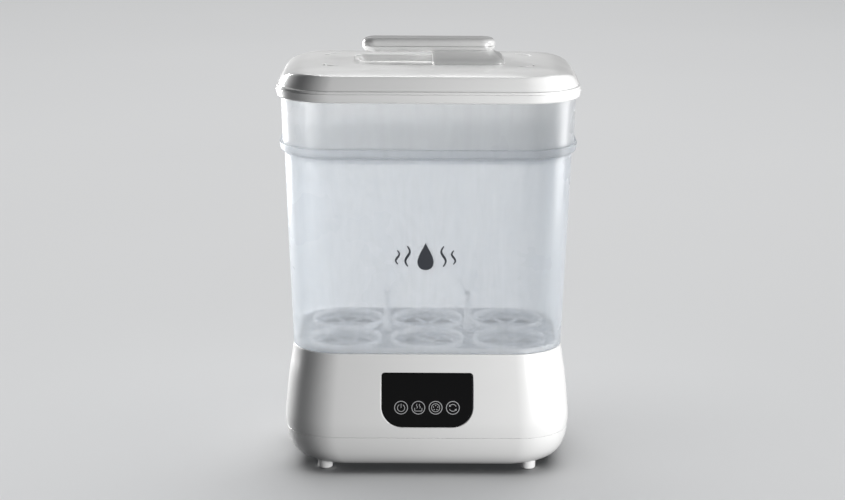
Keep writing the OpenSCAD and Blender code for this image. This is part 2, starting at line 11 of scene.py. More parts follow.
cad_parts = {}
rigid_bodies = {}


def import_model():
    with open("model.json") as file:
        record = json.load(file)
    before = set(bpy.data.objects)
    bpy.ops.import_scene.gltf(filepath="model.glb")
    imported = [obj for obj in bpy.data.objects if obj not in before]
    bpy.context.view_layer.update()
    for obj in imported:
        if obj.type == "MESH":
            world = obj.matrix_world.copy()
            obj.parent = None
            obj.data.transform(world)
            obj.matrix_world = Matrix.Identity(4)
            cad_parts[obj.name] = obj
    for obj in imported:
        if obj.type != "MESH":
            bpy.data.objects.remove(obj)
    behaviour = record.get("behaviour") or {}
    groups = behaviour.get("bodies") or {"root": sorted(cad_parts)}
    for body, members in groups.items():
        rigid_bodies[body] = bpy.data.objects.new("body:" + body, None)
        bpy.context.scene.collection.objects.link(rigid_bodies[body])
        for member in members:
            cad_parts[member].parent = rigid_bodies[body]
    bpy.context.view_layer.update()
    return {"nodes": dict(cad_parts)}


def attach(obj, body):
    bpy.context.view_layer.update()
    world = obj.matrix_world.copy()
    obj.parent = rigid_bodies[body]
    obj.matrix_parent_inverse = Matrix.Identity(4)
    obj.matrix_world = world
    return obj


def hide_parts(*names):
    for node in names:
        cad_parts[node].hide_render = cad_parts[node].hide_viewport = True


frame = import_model()
nodes = frame["nodes"]
scene = bpy.context.scene
MM = 0.001

# ------------------------------------------------------------------ camera
cam_data = bpy.data.cameras.new("camera")
cam = bpy.data.objects.new("camera", cam_data)
scene.collection.objects.link(cam)
cam_data.sensor_fit = "HORIZONTAL"
cam_data.sensor_width = 36.0
cam_data.lens = 88.76
cam_data.shift_x = -0.00615
cam_data.shift_y = 0.0
cam_data.clip_start, cam_data.clip_end = 0.05, 60.0
cam.matrix_world = (
    Matrix.Translation((0.0, -2.0, 0.6844))
    @ Matrix.Rotation(math.radians(76.54), 4, "X")
    @ Matrix.Rotation(0.00469, 4, "Z")
)
scene.camera = cam

# ------------------------------------------------------------------ numbers shared with the CAD
A0, B0, CR = 145.0, 94.5, 52.5
BASE_Z, SEAM_Z, COVER_Z, DECK_Z = 122.0, 39.7, 7.8, 112.5
COLLAR_LO, COLLAR_HI = 315.5, 323.0
RIM_LO, RIM_HI, LID_Z = 367.0, 376.0, 394.8
GRIP_Z0, PART_Z, GRIP_Z1 = 403.5, 409.5, 417.0
SPLIT_X = 3.7
LENS_A, LENS_H, LENS_Z, LEAN = 43.7, 53.2, 77.6, 5.7
END_X, END_FALL, SIDE_FALL = 79.0, 30.0, 3.3
PLATE_X = -42.0
DUCT = (50.0, -68.0, 86.0, -44.0)
BAY = (48.0, 68.0)
INLET = (-70.0, 66.0)


# ------------------------------------------------------------------ curves
def catmull(points, per=6):
    """Smooth curve through points of any size, per steps between two of them."""
    pts = [tuple(p) for p in points]
    pts = [tuple(2 * a - b for a, b in zip(pts[0], pts[1]))] + pts
    pts.append(tuple(2 * a - b for a, b in zip(pts[-1], pts[-2])))
    out = []
    for i in range(1, len(pts) - 2):
        p0, p1, p2, p3 = pts[i - 1 : i + 3]

        def gap(a, b):
            return max(1e-6, math.dist(a, b) ** 0.5)

        t1 = gap(p0, p1)
        t2 = t1 + gap(p1, p2)
        t3 = t2 + gap(p2, p3)

        def mix(a, b, ta, tb, t):
            return tuple(x * (tb - t) / (tb - ta) + y * (t - ta) / (tb - ta) for x, y in zip(a, b))

        for k in range(per):
            t = t1 + (t2 - t1) * k / per
            a1, a2, a3 = mix(p0, p1, 0, t1, t), mix(p1, p2, t1, t2, t), mix(p2, p3, t2, t3, t)
            b1, b2 = mix(a1, a2, 0, t2, t), mix(a2, a3, t1, t3, t)
            out.append(mix(b1, b2, t1, t2, t))
    out.append(pts[-2])
    return out


def fillet(points, seg=4):
    """Polyline (x, y, r) with its corners rounded by r; returns (x, y) points."""
    out = []
    n = len(points)
    for i, p in enumerate(points):
        x, y = p[0], p[1]
        r = p[2] if len(p) > 2 else 0.0
        if i in (0, n - 1) or r <= 0:
            out.append((x, y))
            continue
        a, b = Vector(points[i - 1][:2]), Vector(points[i + 1][:2])
        c = Vector((x, y))
        u, v = a - c, b - c
        lu, lv = u.length, v.length
        u, v = u / lu, v / lv
        half = math.acos(max(-1, min(1, u.dot(v)))) / 2
        if half < 0.02 or half > 1.55:
            out.append((x, y))
            continue
        d = min(r / math.tan(half), 0.48 * lu, 0.48 * lv)
        rr_ = d * math.tan(half)
        centre = c + (u + v).normalized() * (rr_ / math.sin(half))
        s, e = c + u * d - centre, c + v * d - centre
        sweep = math.atan2(s.x * e.y - s.y * e.x, s.dot(e))
        for k in range(seg + 1):
            ang = sweep * k / seg
            ca, sa = math.cos(ang), math.sin(ang)
            out.append((centre.x + s.x * ca - s.y * sa, centre.y + s.x * sa + s.y * ca))
    return out


# ------------------------------------------------------------------ outlines
def outline(x0, x1, b, rl, rr, z, nc=18, nl=14, ns=7, yc=0.0):
    """Rounded rectangle from x0 to x1 and -b to b, corner radius rl on the left and rr on the right."""
    pts = []
    corners = [(x1 - rr, b - rr, rr, 0), (x0 + rl, b - rl, rl, 90), (x0 + rl, -b + rl, rl, 180), (x1 - rr, -b + rr, rr, 270)]
    for q, (cx, cy, r, t0) in enumerate(corners):
        for k in range(nc + 1):
            t = math.radians(t0 + 90.0 * k / nc)
            pts.append((cx + r * math.cos(t), yc + cy + r * math.sin(t), z))
        nx = corners[(q + 1) % 4]
        t = math.radians(t0 + 90)
        p = (cx + r * math.cos(t), yc + cy + r * math.sin(t))
        e = (nx[0] + nx[2] * math.cos(t), yc + nx[1] + nx[2] * math.sin(t))
        m = nl if q in (0, 2) else ns
        for k in range(1, m):
            f = k / m
            pts.append((p[0] + (e[0] - p[0]) * f, p[1] + (e[1] - p[1]) * f, z))
    return pts


def ring(inset, z, **kw):
    r = CR - 0.36 * inset
    return outline(-A0 + inset, A0 - inset, B0 - inset, r, r, z, **kw)


def rr(a, b, r, z, **kw):
    return outline(-a, a, b, r, r, z, **kw)


def circle(cx, cy, r, z, n=64):
    return [(cx + r * math.cos(2 * math.pi * k / n), cy + r * math.sin(2 * math.pi * k / n), z) for k in range(n)]


# ------------------------------------------------------------------ meshes
def new_object(name, bm_or_mesh):
    if isinstance(bm_or_mesh, bmesh.types.BMesh):
        me = bpy.data.meshes.new(name)
        bm_or_mesh.to_mesh(me)
        bm_or_mesh.free()
    else:
        me = bm_or_mesh
    ob = bpy.data.objects.new(name, me)
    scene.collection.objects.link(ob)
    return ob


def add_loft(bm, rings, closed=False, cap=True, place=None):
    """Quads between rings of equal length. closed joins the last ring to the first."""
    vs = []
    for r in rings:
        row = []
        for p in r:
            v = Vector(p)
            if place is not None:
                v = place @ v
            row.append(bm.verts.new(v * MM))
        vs.append(row)
    n = len(vs[0])
    pairs = list(zip(vs[:-1], vs[1:]))
    if closed:
        pairs.append((vs[-1], vs[0]))
    for a, b in pairs:
        for k in range(n):
            k2 = (k + 1) % n
            bm.faces.new((a[k], a[k2], b[k2], b[k]))
    if cap and not closed:
        bm.faces.new(list(reversed(vs[0])))
        bm.faces.new(vs[-1])


def loft(name, rings, closed=False, place=None):
    bm = bmesh.new()
    add_loft(bm, rings, closed=closed, place=place)
    bmesh.ops.recalc_face_normals(bm, faces=bm.faces)
    return new_object(name, bm)


def box_ob(name, lo, hi, bevel=0.0, seg=3, place=None):
    bm = bmesh.new()
    bmesh.ops.create_cube(bm, size=1.0)
    for v in bm.verts:
        v.co = Vector((lo[i] + (hi[i] - lo[i]) * (v.co[i] + 0.5) for i in range(3)))
    if bevel > 0:
        bmesh.ops.bevel(bm, geom=bm.edges[:], offset=bevel, segments=seg, profile=0.5, affect="EDGES")
    for v in bm.verts:
        if place is not None:
            v.co = place @ v.co
        v.co = v.co * MM
    bmesh.ops.recalc_face_normals(bm, faces=bm.faces)
    return new_object(name, bm)


def lathe(name, profile, centre=(0, 0), n=72, place=None):
    """Closed solid turned about Z; profile is (r, z) from the axis round to the axis."""
    bm = bmesh.new()
    rows = []
    for r, z in profile:
        if r < 1e-6:
            p = Vector((centre[0], centre[1], z))
            rows.append([bm.verts.new((place @ p if place is not None else p) * MM)])
        else:
            row = []
            for k in range(n):
                t = 2 * math.pi * k / n
                p = Vector((centre[0] + r * math.cos(t), centre[1] + r * math.sin(t), z))
                row.append(bm.verts.new((place @ p if place is not None else p) * MM))
            rows.append(row)
    pairs = list(zip(rows[:-1], rows[1:]))
    if len(rows[0]) > 1 or len(rows[-1]) > 1:
        pairs.append((rows[-1], rows[0]))
    for a, b in pairs:
        for k in range(n):
            k2 = (k + 1) % n
            if len(a) == 1 and len(b) == 1:
                break
            if len(a) == 1:
                bm.faces.new((a[0], b[k2], b[k]))
            elif len(b) == 1:
                bm.faces.new((a[k], a[k2], b[0]))
            else:
                bm.faces.new((a[k], a[k2], b[k2], b[k]))
    bmesh.ops.recalc_face_normals(bm, faces=bm.faces)
    return new_object(name, bm)


def join(name, obs):
    bm = bmesh.new()
    for o in obs:
        me = o.data.copy()
        me.transform(o.matrix_world)
        bm.from_mesh(me)
        bpy.data.meshes.remove(me)
    for o in obs:
        me = o.data
        bpy.data.objects.remove(o)
        bpy.data.meshes.remove(me)
    return new_object(name, bm)


def cut(ob, cutters, operation="DIFFERENCE"):
    """Exact boolean with each cutter, applied."""
    for c in cutters:
        m = ob.modifiers.new("b", "BOOLEAN")
        m.operation = operation
        m.solver = "EXACT"
        m.object = c
        bpy.context.view_layer.update()
        dg = bpy.context.evaluated_depsgraph_get()
        me = bpy.data.meshes.new_from_object(ob.evaluated_get(dg), depsgraph=dg)
        ob.modifiers.clear()
        old = ob.data
        ob.data = me
        bpy.data.meshes.remove(old)
    for c in cutters:
        me = c.data
        bpy.data.objects.remove(c)
        bpy.data.meshes.remove(me)
    return ob


def tidy(ob, dist=0.004):
    """Merge doubles and drop slivers that a boolean leaves."""
    bm = bmesh.new()
    bm.from_mesh(ob.data)
    bmesh.ops.remove_doubles(bm, verts=bm.verts, dist=dist * MM)
    bmesh.ops.dissolve_degenerate(bm, dist=dist * MM, edges=bm.edges)
    bmesh.ops.recalc_face_normals(bm, faces=bm.faces)
    bm.to_mesh(ob.data)
    bm.free()
    return ob


def smooth(ob, angle=32.0, weighted=True):
    me = ob.data
    me.polygons.foreach_set("use_smooth", [True] * len(me.polygons))
    me.set_sharp_from_angle(angle=math.radians(angle))
    if weighted:
        m = ob.modifiers.new("normals", "WEIGHTED_NORMAL")
        m.keep_sharp = True
        m.weight = 70
    me.update()
    return ob


def piece(ob, body, material, replaces=(), angle=32.0, weighted=True):
    ob.data.materials.clear()
    ob.data.materials.append(material)
    smooth(ob, angle, weighted)
    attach(ob, body)
    if replaces:
        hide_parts(*replaces)
    return ob


# ------------------------------------------------------------------ materials
class Nodes:
    """Small helper that writes a node tree."""

    def __init__(self, name):
        self.m = bpy.data.materials.new(name)
        self.m.use_nodes = True
        self.t = self.m.node_tree
        self.t.nodes.clear()
        self.out = self.t.nodes.new("ShaderNodeOutputMaterial")
        self.p = self.t.nodes.new("ShaderNodeBsdfPrincipled")
        self.t.links.new(self.p.outputs[0], self.out.inputs[0])
        self.x = 0

    def node(self, kind, **kw):
        n = self.t.nodes.new(kind)
        self.x -= 180
        n.location = (self.x, 0)
        for k, v in kw.items():
            setattr(n, k, v)
        return n

    def link(self, a, b):
        self.t.links.new(a, b)

    def coords(self, scale=(1, 1, 1), rotate=(0, 0, 0)):
        c = self.node("ShaderNodeTexCoord")
        m = self.node("ShaderNodeMapping")
        m.inputs["Scale"].default_value = scale
        m.inputs["Rotation"].default_value = rotate
        self.link(c.outputs["Object"], m.inputs["Vector"])
        return m.outputs[0]

    def noise(self, vec, scale, detail=3.0, rough=0.5, distort=0.0):
        n = self.node("ShaderNodeTexNoise")
        n.inputs["Scale"].default_value = scale
        n.inputs["Detail"].default_value = detail
        n.inputs["Roughness"].default_value = rough
        n.inputs["Distortion"].default_value = distort
        self.link(vec, n.inputs["Vector"])
        return n.outputs["Fac"]

    def ramp(self, fac, stops):
        r = self.node("ShaderNodeValToRGB")
        e = r.color_ramp.elements
        while len(e) > 1:
            e.remove(e[-1])
        e[0].position = stops[0][0]
        e[0].color = (*stops[0][1], 1)
        for p, c in stops[1:]:
            k = e.new(p)
            k.color = (*c, 1)
        self.link(fac, r.inputs[0])
        return r.outputs[0]

    def span(self, fac, lo, hi, a=0.0, b=1.0):
        r = self.node("ShaderNodeMapRange")
        r.inputs["From Min"].default_value = a
        r.inputs["From Max"].default_value = b
        r.inputs["To Min"].default_value = lo
        r.inputs["To Max"].default_value = hi
        self.link(fac, r.inputs["Value"])
        return r.outputs[0]

    def math(self, op, a, b):
        n = self.node("ShaderNodeMath", operation=op)
        for i, v in enumerate((a, b)):
            if isinstance(v, (int, float)):
                n.inputs[i].default_value = v
            else:
                self.link(v, n.inputs[i])
        return n.outputs[0]

    def bump(self, height, strength, distance, under=None):
        b = self.node("ShaderNodeBump")
        b.inputs["Strength"].default_value = strength
        b.inputs["Distance"].default_value = distance
        self.link(height, b.inputs["Height"])
        if under is not None:
            self.link(under, b.inputs["Normal"])
        return b.outputs[0]

    def set(self, **kw):
        for k, v in kw.items():
            s = self.p.inputs[k.replace("_", " ")]
            if isinstance(v, bpy.types.NodeSocket):
                self.link(v, s)
            else:
                s.default_value = v
        return self


def grey(v, tint=(1, 1, 1)):
    return tuple(v * t for t in tint)


def plastic(name, colour, rough, var=0.02, spark=0.25, wave=0.12, ior=1.5, coat=0.0):
    """Moulded plastic: faint cloudy colour, uneven gloss, a fine eroded grain and slight sink waviness."""
    n = Nodes(name)
    v = n.coords()
    cloud = n.noise(v, 9.0, 4.0, 0.55)
    col = n.ramp(cloud, [(0.3, grey(1 - var, colour)), (0.7, grey(1 + var * 0.6, colour))])
    fine = n.noise(v, 420.0, 2.0, 0.5)
    mid = n.noise(v, 34.0, 3.0, 0.5)
    r = n.span(mid, rough * 0.92, rough * 1.08, 0.3, 0.7)
    b1 = n.bump(n.noise(v, 14.0, 1.0, 0.4), wave, 0.0006)
    b2 = n.bump(fine, spark, 0.000012, under=b1)
    n.set(Base_Color=col, Roughness=r, Normal=b2, IOR=ior)
    n.p.inputs["Coat Weight"].default_value = coat
    n.p.inputs["Coat Roughness"].default_value = 0.06
    return n.m


def frosted(name, colour, alpha_face, alpha_edge, rough, streak=0.04, glow=0.85):
    """Translucent polypropylene: hazier where it is seen edge on, with faint flow lines from moulding."""
    n = Nodes(name)
    v = n.coords()
    flow = n.noise(n.coords(scale=(9.0, 9.0, 1.2)), 3.0, 4.0, 0.55, 0.6)
    cloud = n.noise(v, 18.0, 3.0, 0.5)
    fine = n.noise(v, 420.0, 2.0, 0.5)
    col = n.ramp(cloud, [(0.3, grey(0.985, colour)), (0.72, grey(1.015, colour))])
    lw = n.node("ShaderNodeLayerWeight")
    lw.inputs["Blend"].default_value = 0.5
    base = n.span(lw.outputs["Facing"], alpha_face, alpha_edge, 0.0, 1.0)
    haze = n.span(flow, -streak, streak, 0.3, 0.7)
    alpha = n.math("ADD", base, haze)
    r = n.span(cloud, rough * 0.85, rough * 1.15, 0.3, 0.7)
    b1 = n.bump(n.noise(v, 30.0, 1.0, 0.4), 0.10, 0.0006)
    b2 = n.bump(fine, 0.25, 0.000012, under=b1)
    n.set(Base_Color=col, Roughness=r, Alpha=alpha, Normal=b2, IOR=1.49)
    n.p.inputs["Subsurface Weight"].default_value = glow
    n.p.inputs["Subsurface Radius"].default_value = (1.0, 1.0, 1.0)
    n.p.inputs["Subsurface Scale"].default_value = 0.012
    return n.m


def metal(name, colour, rough, rings=False, centre=(0, 0), brush=(1, 1, 60)):
    n = Nodes(name)
    v = n.coords()
    if rings:
        c = n.node("ShaderNodeTexCoord")
        sep = n.node("ShaderNodeSeparateXYZ")
        n.link(c.outputs["Object"], sep.inputs[0])
        dx = n.math("SUBTRACT", sep.outputs[0], centre[0] * MM)
        dy = n.math("SUBTRACT", sep.outputs[1], centre[1] * MM)
        rad = n.math("SQRT", n.math("ADD", n.math("MULTIPLY", dx, dx), n.math("MULTIPLY", dy, dy)), 0.0)
        comb = n.node("ShaderNodeCombineXYZ")
        n.link(n.math("MULTIPLY", rad, 1400.0), comb.inputs[0])
        lines = n.noise(comb.outputs[0], 1.0, 4.0, 0.7)
    else:
        lines = n.noise(n.coords(scale=brush), 40.0, 4.0, 0.7)
    cloud = n.noise(v, 40.0, 4.0, 0.6)
    col = n.ramp(n.math("ADD", n.math("MULTIPLY", lines, 0.6), n.math("MULTIPLY", cloud, 0.4)),
                 [(0.32, grey(0.86, colour)), (0.68, grey(1.06, colour))])
    r = n.span(lines, rough * 0.75, rough * 1.3, 0.3, 0.7)
    n.set(Base_Color=col, Roughness=r, Normal=n.bump(lines, 0.25, 0.00003), Metallic=1.0)
    return n.m


def rubber(name, colour, rough=0.75):
    n = Nodes(name)
    v = n.coords()
    fine = n.noise(v, 900.0, 4.0, 0.65)
    cloud = n.noise(v, 60.0, 3.0, 0.5)
    col = n.ramp(cloud, [(0.3, grey(0.9, colour)), (0.7, grey(1.08, colour))])
    n.set(Base_Color=col, Roughness=n.span(fine, rough * 0.9, min(1.0, rough * 1.12), 0.3, 0.7),
          Normal=n.bump(fine, 0.4, 0.00005))
    return n.m


white = plastic("white_plastic", (0.80, 0.80, 0.795), 0.24)
white_in = plastic("white_plastic_matt", (0.78, 0.78, 0.775), 0.42, spark=0.4)
black_gloss = plastic("black_lens", (0.0015, 0.0015, 0.0018), 0.06, var=0.15, spark=0.02, wave=0.02, ior=1.25)
print_grey = plastic("icon_print", (0.42, 0.42, 0.43), 0.5, var=0.05)
mark_ink = plastic("mark_ink", (0.032, 0.036, 0.045), 0.45, var=0.1)
dark = plastic("dark_plastic", (0.030, 0.030, 0.032), 0.38, var=0.12, spark=0.5)
dark_blade = plastic("impeller_plastic", (0.022, 0.022, 0.024), 0.34, var=0.12, spark=0.4)
mid_grey = plastic("grey_plastic", (0.40, 0.41, 0.41), 0.40, var=0.05, spark=0.5)
pads = rubber("grey_rubber", (0.42, 0.42, 0.42))
silicone = rubber("silicone", (0.62, 0.30, 0.24), 0.6)
steel = metal("steel", (0.62, 0.62, 0.63), 0.28)
plate_steel = metal("plate_steel", (0.66, 0.665, 0.67), 0.20, rings=True, centre=(PLATE_X, 0))
element_steel = metal("element_steel", (0.34, 0.33, 0.32), 0.42)
brass = metal("brass_pins", (0.78, 0.58, 0.28), 0.25)
frost = frosted("frosted_plastic", (0.805, 0.86, 0.93), 0.25, 0.66, 0.30)
frost_tray = frosted("frosted_tray", (0.865, 0.90, 0.945), 0.38, 0.78, 0.30)
frost_rack = frosted("frosted_rack", (0.90, 0.92, 0.94), 0.55, 0.86, 0.35)


def board_material():
    n = Nodes("circuit_board")
    v = n.coords()
    br = n.node("ShaderNodeTexBrick")
    br.inputs["Scale"].default_value = 1.0
    br.inputs["Mortar Size"].default_value = 0.10
    br.inputs["Brick Width"].default_value = 3.1
    br.inputs["Row Height"].default_value = 1.3
    br.inputs["Color1"].default_value = (0.010, 0.085, 0.035, 1)
    br.inputs["Color2"].default_value = (0.014, 0.105, 0.045, 1)
    br.inputs["Mortar"].default_value = (0.030, 0.17, 0.075, 1)
    n.link(n.coords(scale=(500, 500, 500)), br.inputs["Vector"])
    n.set(Base_Color=br.outputs["Color"], Roughness=n.span(n.noise(v, 300.0), 0.3, 0.5, 0.3, 0.7),
          Normal=n.bump(br.outputs["Fac"], 0.3, 0.00004))
    return n.m


def stripe_material(name, dark_c, light_c, scale, rough, axis=(1, 0, 0), metallic=0.0):
    n = Nodes(name)
    w = n.node("ShaderNodeTexWave")
    w.inputs["Scale"].default_value = 1.0
    w.inputs["Distortion"].default_value = 0.6
    w.inputs["Detail"].default_value = 2.0
    n.link(n.coords(scale=tuple(scale * a for a in axis)), w.inputs["Vector"])
    fine = n.noise(n.coords(), 1500.0, 4.0, 0.7)
    mixed = n.math("ADD", n.math("MULTIPLY", w.outputs["Fac"], 0.5), n.math("MULTIPLY", fine, 0.5))
    n.set(Base_Color=n.ramp(mixed, [(0.25, dark_c), (0.75, light_c)]),
          Roughness=n.span(fine, rough * 0.9, min(1.0, rough * 1.1), 0.3, 0.7),
          Normal=n.bump(mixed, 0.5, 0.00012), Metallic=metallic)
    return n.m


pcb = board_material()
paper = stripe_material("filter_paper", (0.66, 0.64, 0.58), (0.84, 0.83, 0.78), 900.0, 0.9)
fins = stripe_material("heater_fins", (0.42, 0.36, 0.30), (0.66, 0.60, 0.52), 1400.0, 0.4, axis=(0, 0, 1), metallic=0.8)
ceramic = rubber("fuse_ceramic", (0.72, 0.68, 0.60), 0.55)

# ------------------------------------------------------------------ lid
NL = dict(nc=26, nl=20, ns=10)


def smin(a, b, k):
    h = min(1.0, max(0.0, 0.5 + 0.5 * (b - a) / k))
    return b * (1 - h) + a * h - k * h * (1 - h)


def top_z(x, y):
    """Height of the lid's top: flat in the middle, rounded off towards both ends, front and back."""
    u = min(0.995, max(0.0, (abs(x) - END_X) / (A0 + 1 - END_X)))
    v = max(0.0, (abs(y) - 46.5) / 36.6)
    return LID_Z - END_FALL * (1 - (1 - u ** 3.8) ** (1 / 2.8)) - SIDE_FALL * v * v


def lid_ring(i, z, o=0.0, k=2.3):
    return [(x, y, smin(z, top_z(x, y) - o, k)) for x, y, _ in ring(i, z, **NL)]


def table(points, v):
    for (a, za), (b, zb) in zip(points[:-1], points[1:]):
        if v <= b:
            return za + (zb - za) * (v - a) / (b - a)
    return points[-1][1]


# the bevel, carried on upwards so that the top decides the height further in
bevel = catmull([(2.7, 378.6), (4.2, 382.0), (6.2, 386.4), (7.3, 388.8), (8.3, 391.1), (9.3, 393.4)], 4) + [(10.6, 399.0), (12.6, 416.0), (16.0, 460.0), (62.0, 480.0)]
bevel_in = [(6.5, 373.2), (7.0, 378.6), (7.6, 381.6), (9.2, 386.0), (10.7, 389.4), (12.2, 395.0), (14.5, 416.0), (19.0, 456.0), (62.0, 480.0)]
low = fillet([(3.8, 367.0, 0), (2.15, 367.0, 0.9), (1.2, 368.4, 0.7), (0.02, 375.0, 0.5), (0.45, 375.5, 0.25), (1.3, 375.8, 0.15),
              (0.75, 376.1, 0.2), (0.95, 377.6, 0.5), (1.75, 378.1, 0.3), (2.35, 378.05, 0.15), (2.7, 378.6, 0)], 4)
tail = fillet([(6.5, 373.2, 0.6), (3.8, 373.2, 0.6), (3.8, 367.6, 0)], 3)
steps = [3.2, 3.7, 4.2, 4.7, 5.2, 5.7, 6.2, 6.6, 7.0, 7.3, 7.6, 7.9, 8.2, 8.5, 8.8, 9.1, 9.5, 9.9, 10.4, 11.0, 11.8, 12.8, 14.0, 16.0, 18.0, 20.5, 23.0, 26.0, 30.0, 35.0, 42.0, 51.0]
outer_rings = [ring(i, z, **NL) for i, z in low] + [lid_ring(i, table(bevel, i)) for i in steps] + [ring(62.0, LID_Z, **NL)]
inner_rings = [ring(62.0, LID_Z - 2.7, **NL)] + [lid_ring(i, table(bevel_in, i), 2.7) for i in (51.0, 42.0, 34.0, 27.0, 22.0, 18.0, 15.0, 13.0, 11.8, 10.7, 9.8, 9.0, 8.2, 7.6, 7.0)] + [ring(i, z, **NL) for i, z in tail[:-1]]
# one closed surface: ceiling cap, down the inside, round the rim, up the outside, top cap
lid = loft("lid", inner_rings + outer_rings)


def scoop_points(n_arc=22, n_side=12):
    """Points and outward normals of the scoop's outline, from its back right end round the left to the front."""
    a, b, r = 72.5, 35.0, 12.0
    pts = []
    for k in range(n_side + 8):
        f = k / (n_side + 8)
        pts.append((SPLIT_X + (-a + r - SPLIT_X) * f, b, 0.0, 1.0))
    for k in range(n_arc + 1):
        t = math.radians(90 + 90 * k / n_arc)
        pts.append((-a + r + r * math.cos(t), b - r + r * math.sin(t), math.cos(t), math.sin(t)))
    for k in range(1, n_side):
        pts.append((-a, (b - r) * (1 - 2 * k / n_side), -1.0, 0.0))
    for k in range(n_arc + 1):
        t = math.radians(180 + 90 * k / n_arc)
        pts.append((-a + r + r * math.cos(t), -b + r + r * math.sin(t), math.cos(t), math.sin(t)))
    for k in range(1, n_side + 9):
        f = k / (n_side + 8)
        pts.append((-a + r + (SPLIT_X + a - r) * f, -b, 0.0, -1.0))
    return pts


def scoop_floor(x, y):
    s = max(0.0, min(1.0, (y + 35.0) / 70.0))
    return LID_Z - 0.16 - 5.75 * (s ** 1.08)


def scoop_cutter():
    pts = scoop_points()
    shape = catmull([(-1.12, 0.0), (-1.0, 0.02), (-0.9, 0.10), (-0.6, 0.40), (-0.28, 0.73), (-0.07, 0.94), (0.0, 0.985), (0.10, 1.004)], 3)
    rings_ = []
    for u, h in shape:
        row = []
        for x, y, nx, ny in pts:
            left = max(0.0, -nx) ** 1.5
            back = max(0.0, ny)
            run = 2.3 + 3.0 * left + (3.4 * max(0.0, -ny) if ny < 0 else 0.0)
            px, py = x + nx * u * run, y + ny * u * run
            zf = scoop_floor(px, py if u < 0 else y)
            hh = LID_Z - scoop_floor(x, y)
            z = scoop_floor(px, min(py, 35.0)) * (1 - h) + (LID_Z + 0.015) * h
            row.append((min(px, SPLIT_X) if nx == 0 else px, py, z))
        rings_.append(row)
    top = [(x + nx * 0.3, y + ny * 0.3, LID_Z + 6.0) for x, y, nx, ny in pts]
    rings_.append(top)
    bm = bmesh.new()
    n = len(pts)
    vs = [[bm.verts.new(Vector(p) * MM) for p in row] for row in rings_]
    for a, b in zip(vs[:-1], vs[1:]):
        for k in range(n):
            k2 = (k + 1) % n
            bm.faces.new((a[k], a[k2], b[k2], b[k]))
    # the floor is a fan of strips between the back and front halves of the lowest ring
    first = vs[0]
    half = n // 2
    i, j = 0, n - 1
    while j - i > 2:
        bm.faces.new((first[i], first[j], first[j - 1], first[i + 1]))
        i += 1
        j -= 1
    if j - i == 2:
        bm.faces.new((first[i], first[j], first[j - 1]))
    bm.faces.new(vs[-1])
    bmesh.ops.recalc_face_normals(bm, faces=bm.faces)
    return new_object("scoop_cutter", bm)


def crescent_outline(cx, cy, sx, sy, grow, z, n=22):
    """Half moon slot: arc of radius 14 whose ends taper to a round tip."""
    def half(u):
        return 0.62 + 0.72 * math.sqrt(max(0.0, 1 - (2 * u - 1) ** 2)) + grow

    outer, inner = [], []
    t0, t1 = 13.0, 88.0
    for k in range(n + 1):
        u = k / n
        t = math.radians(t0 + (t1 - t0) * u)
        w = half(u)
        outer.append((14 + w, t))
        inner.append((14 - w, t))
    pts = list(outer)
    for k in range(1, 6):
        ang = math.pi * k / 6
        w = half(1.0)
        pts.append((14 + w * math.cos(ang), math.radians(t1) + w * math.sin(ang) / 14))
    pts += list(reversed(inner))
    for k in range(1, 6):
        ang = math.pi * k / 6
        w = half(0.0)
        pts.append((14 - w * math.cos(ang), math.radians(t0) - w * math.sin(ang) / 14))
    out = [(sx * (cx + r * math.cos(t)), sy * (cy + r * math.sin(t)), z) for r, t in pts]
    if sx * sy < 0:
        out.reverse()
    return out


def follow(points, dz):
    """The same outline at a set height above the lid's top."""
    return [(x, y, top_z(x, y) + dz) for x, y, _ in points]


# tub under the scoop, so that the lid keeps its wall there
def scoop_tub():
    rows = []
    for grow, lift in ((2.2, 0.0), (2.2, 0.6), (2.6, 2.4)):
        row = []
        for x, y, nx, ny in scoop_points():
            px, py = x + nx * grow, y + ny * grow
            z = min(scoop_floor(x, y) - 2.3 + lift, LID_Z - 1.4)
            row.append((px, py, z))
        rows.append(row)
    rows.append([(x + nx * 2.6, y + ny * 2.6, LID_Z - 1.0) for x, y, nx, ny in scoop_points()])
    return loft("scoop_tub", rows)


cut(lid, [scoop_tub()], "UNION")
cutters = [scoop_cutter()]
for sx in (-1, 1):
    for sy in (-1, 1):
        cutters.append(loft("crescent", [
            follow(crescent_outline(86, 29, sx, sy, g, 0.0), dz) for g, dz in
            ((0.0, -9.0), (0.0, -1.3), (0.1, -0.82), (0.38, -0.4), (0.8, -0.12), (1.25, 0.02), (1.25, 6.0))]))
for x in (22, 52):
    cutters.append(loft("hole", [circle(x, 0, 2.1, LID_Z - 10, 32), circle(x, 0, 2.1, LID_Z + 10, 32)]))
cut(lid, cutters)
tidy(lid)
piece(lid, "lid", white, ["lid_shell"], angle=34)

# grip: lower shell with its pedestal, and the cap above the parting line
NG = dict(nc=16, nl=16, ns=4)
low_grip = catmull([(56.0, 7.6, 7.3, 403.52), (59.3, 10.7, 9.8, 403.9), (61.6, 12.9, 11.4, 404.9), (63.1, 14.3, 12.5, 406.4),
                    (63.75, 14.95, 13.0, 408.0)], 5)
rings_ = [rr(a, b, r, z, **NG) for a, b, r, z in low_grip]
rings_ += [rr(63.8, 15.0, 13.0, z, **NG) for z in (408.6, 409.2)]
rings_ += [rr(63.8 - i, 15.0 - i, 13.0 - i, 409.35 - 0.02 + i * 0.06, **NG) for i in (0.12, 0.45)]
lower = loft("grip_base", rings_)
ped = catmull([(72.5, 35.0, 12.0, 394.86), (72.2, 34.6, 11.9, 396.0), (71.2, 33.0, 11.6, 397.5), (69.6, 29.9, 11.2, 399.1), (67.4, 25.2, 10.8, 400.7),
               (65.0, 20.2, 10.5, 402.3), (62.9, 16.2, 10.7, 403.8), (61.5, 14.0, 11.2, 405.6)], 5)
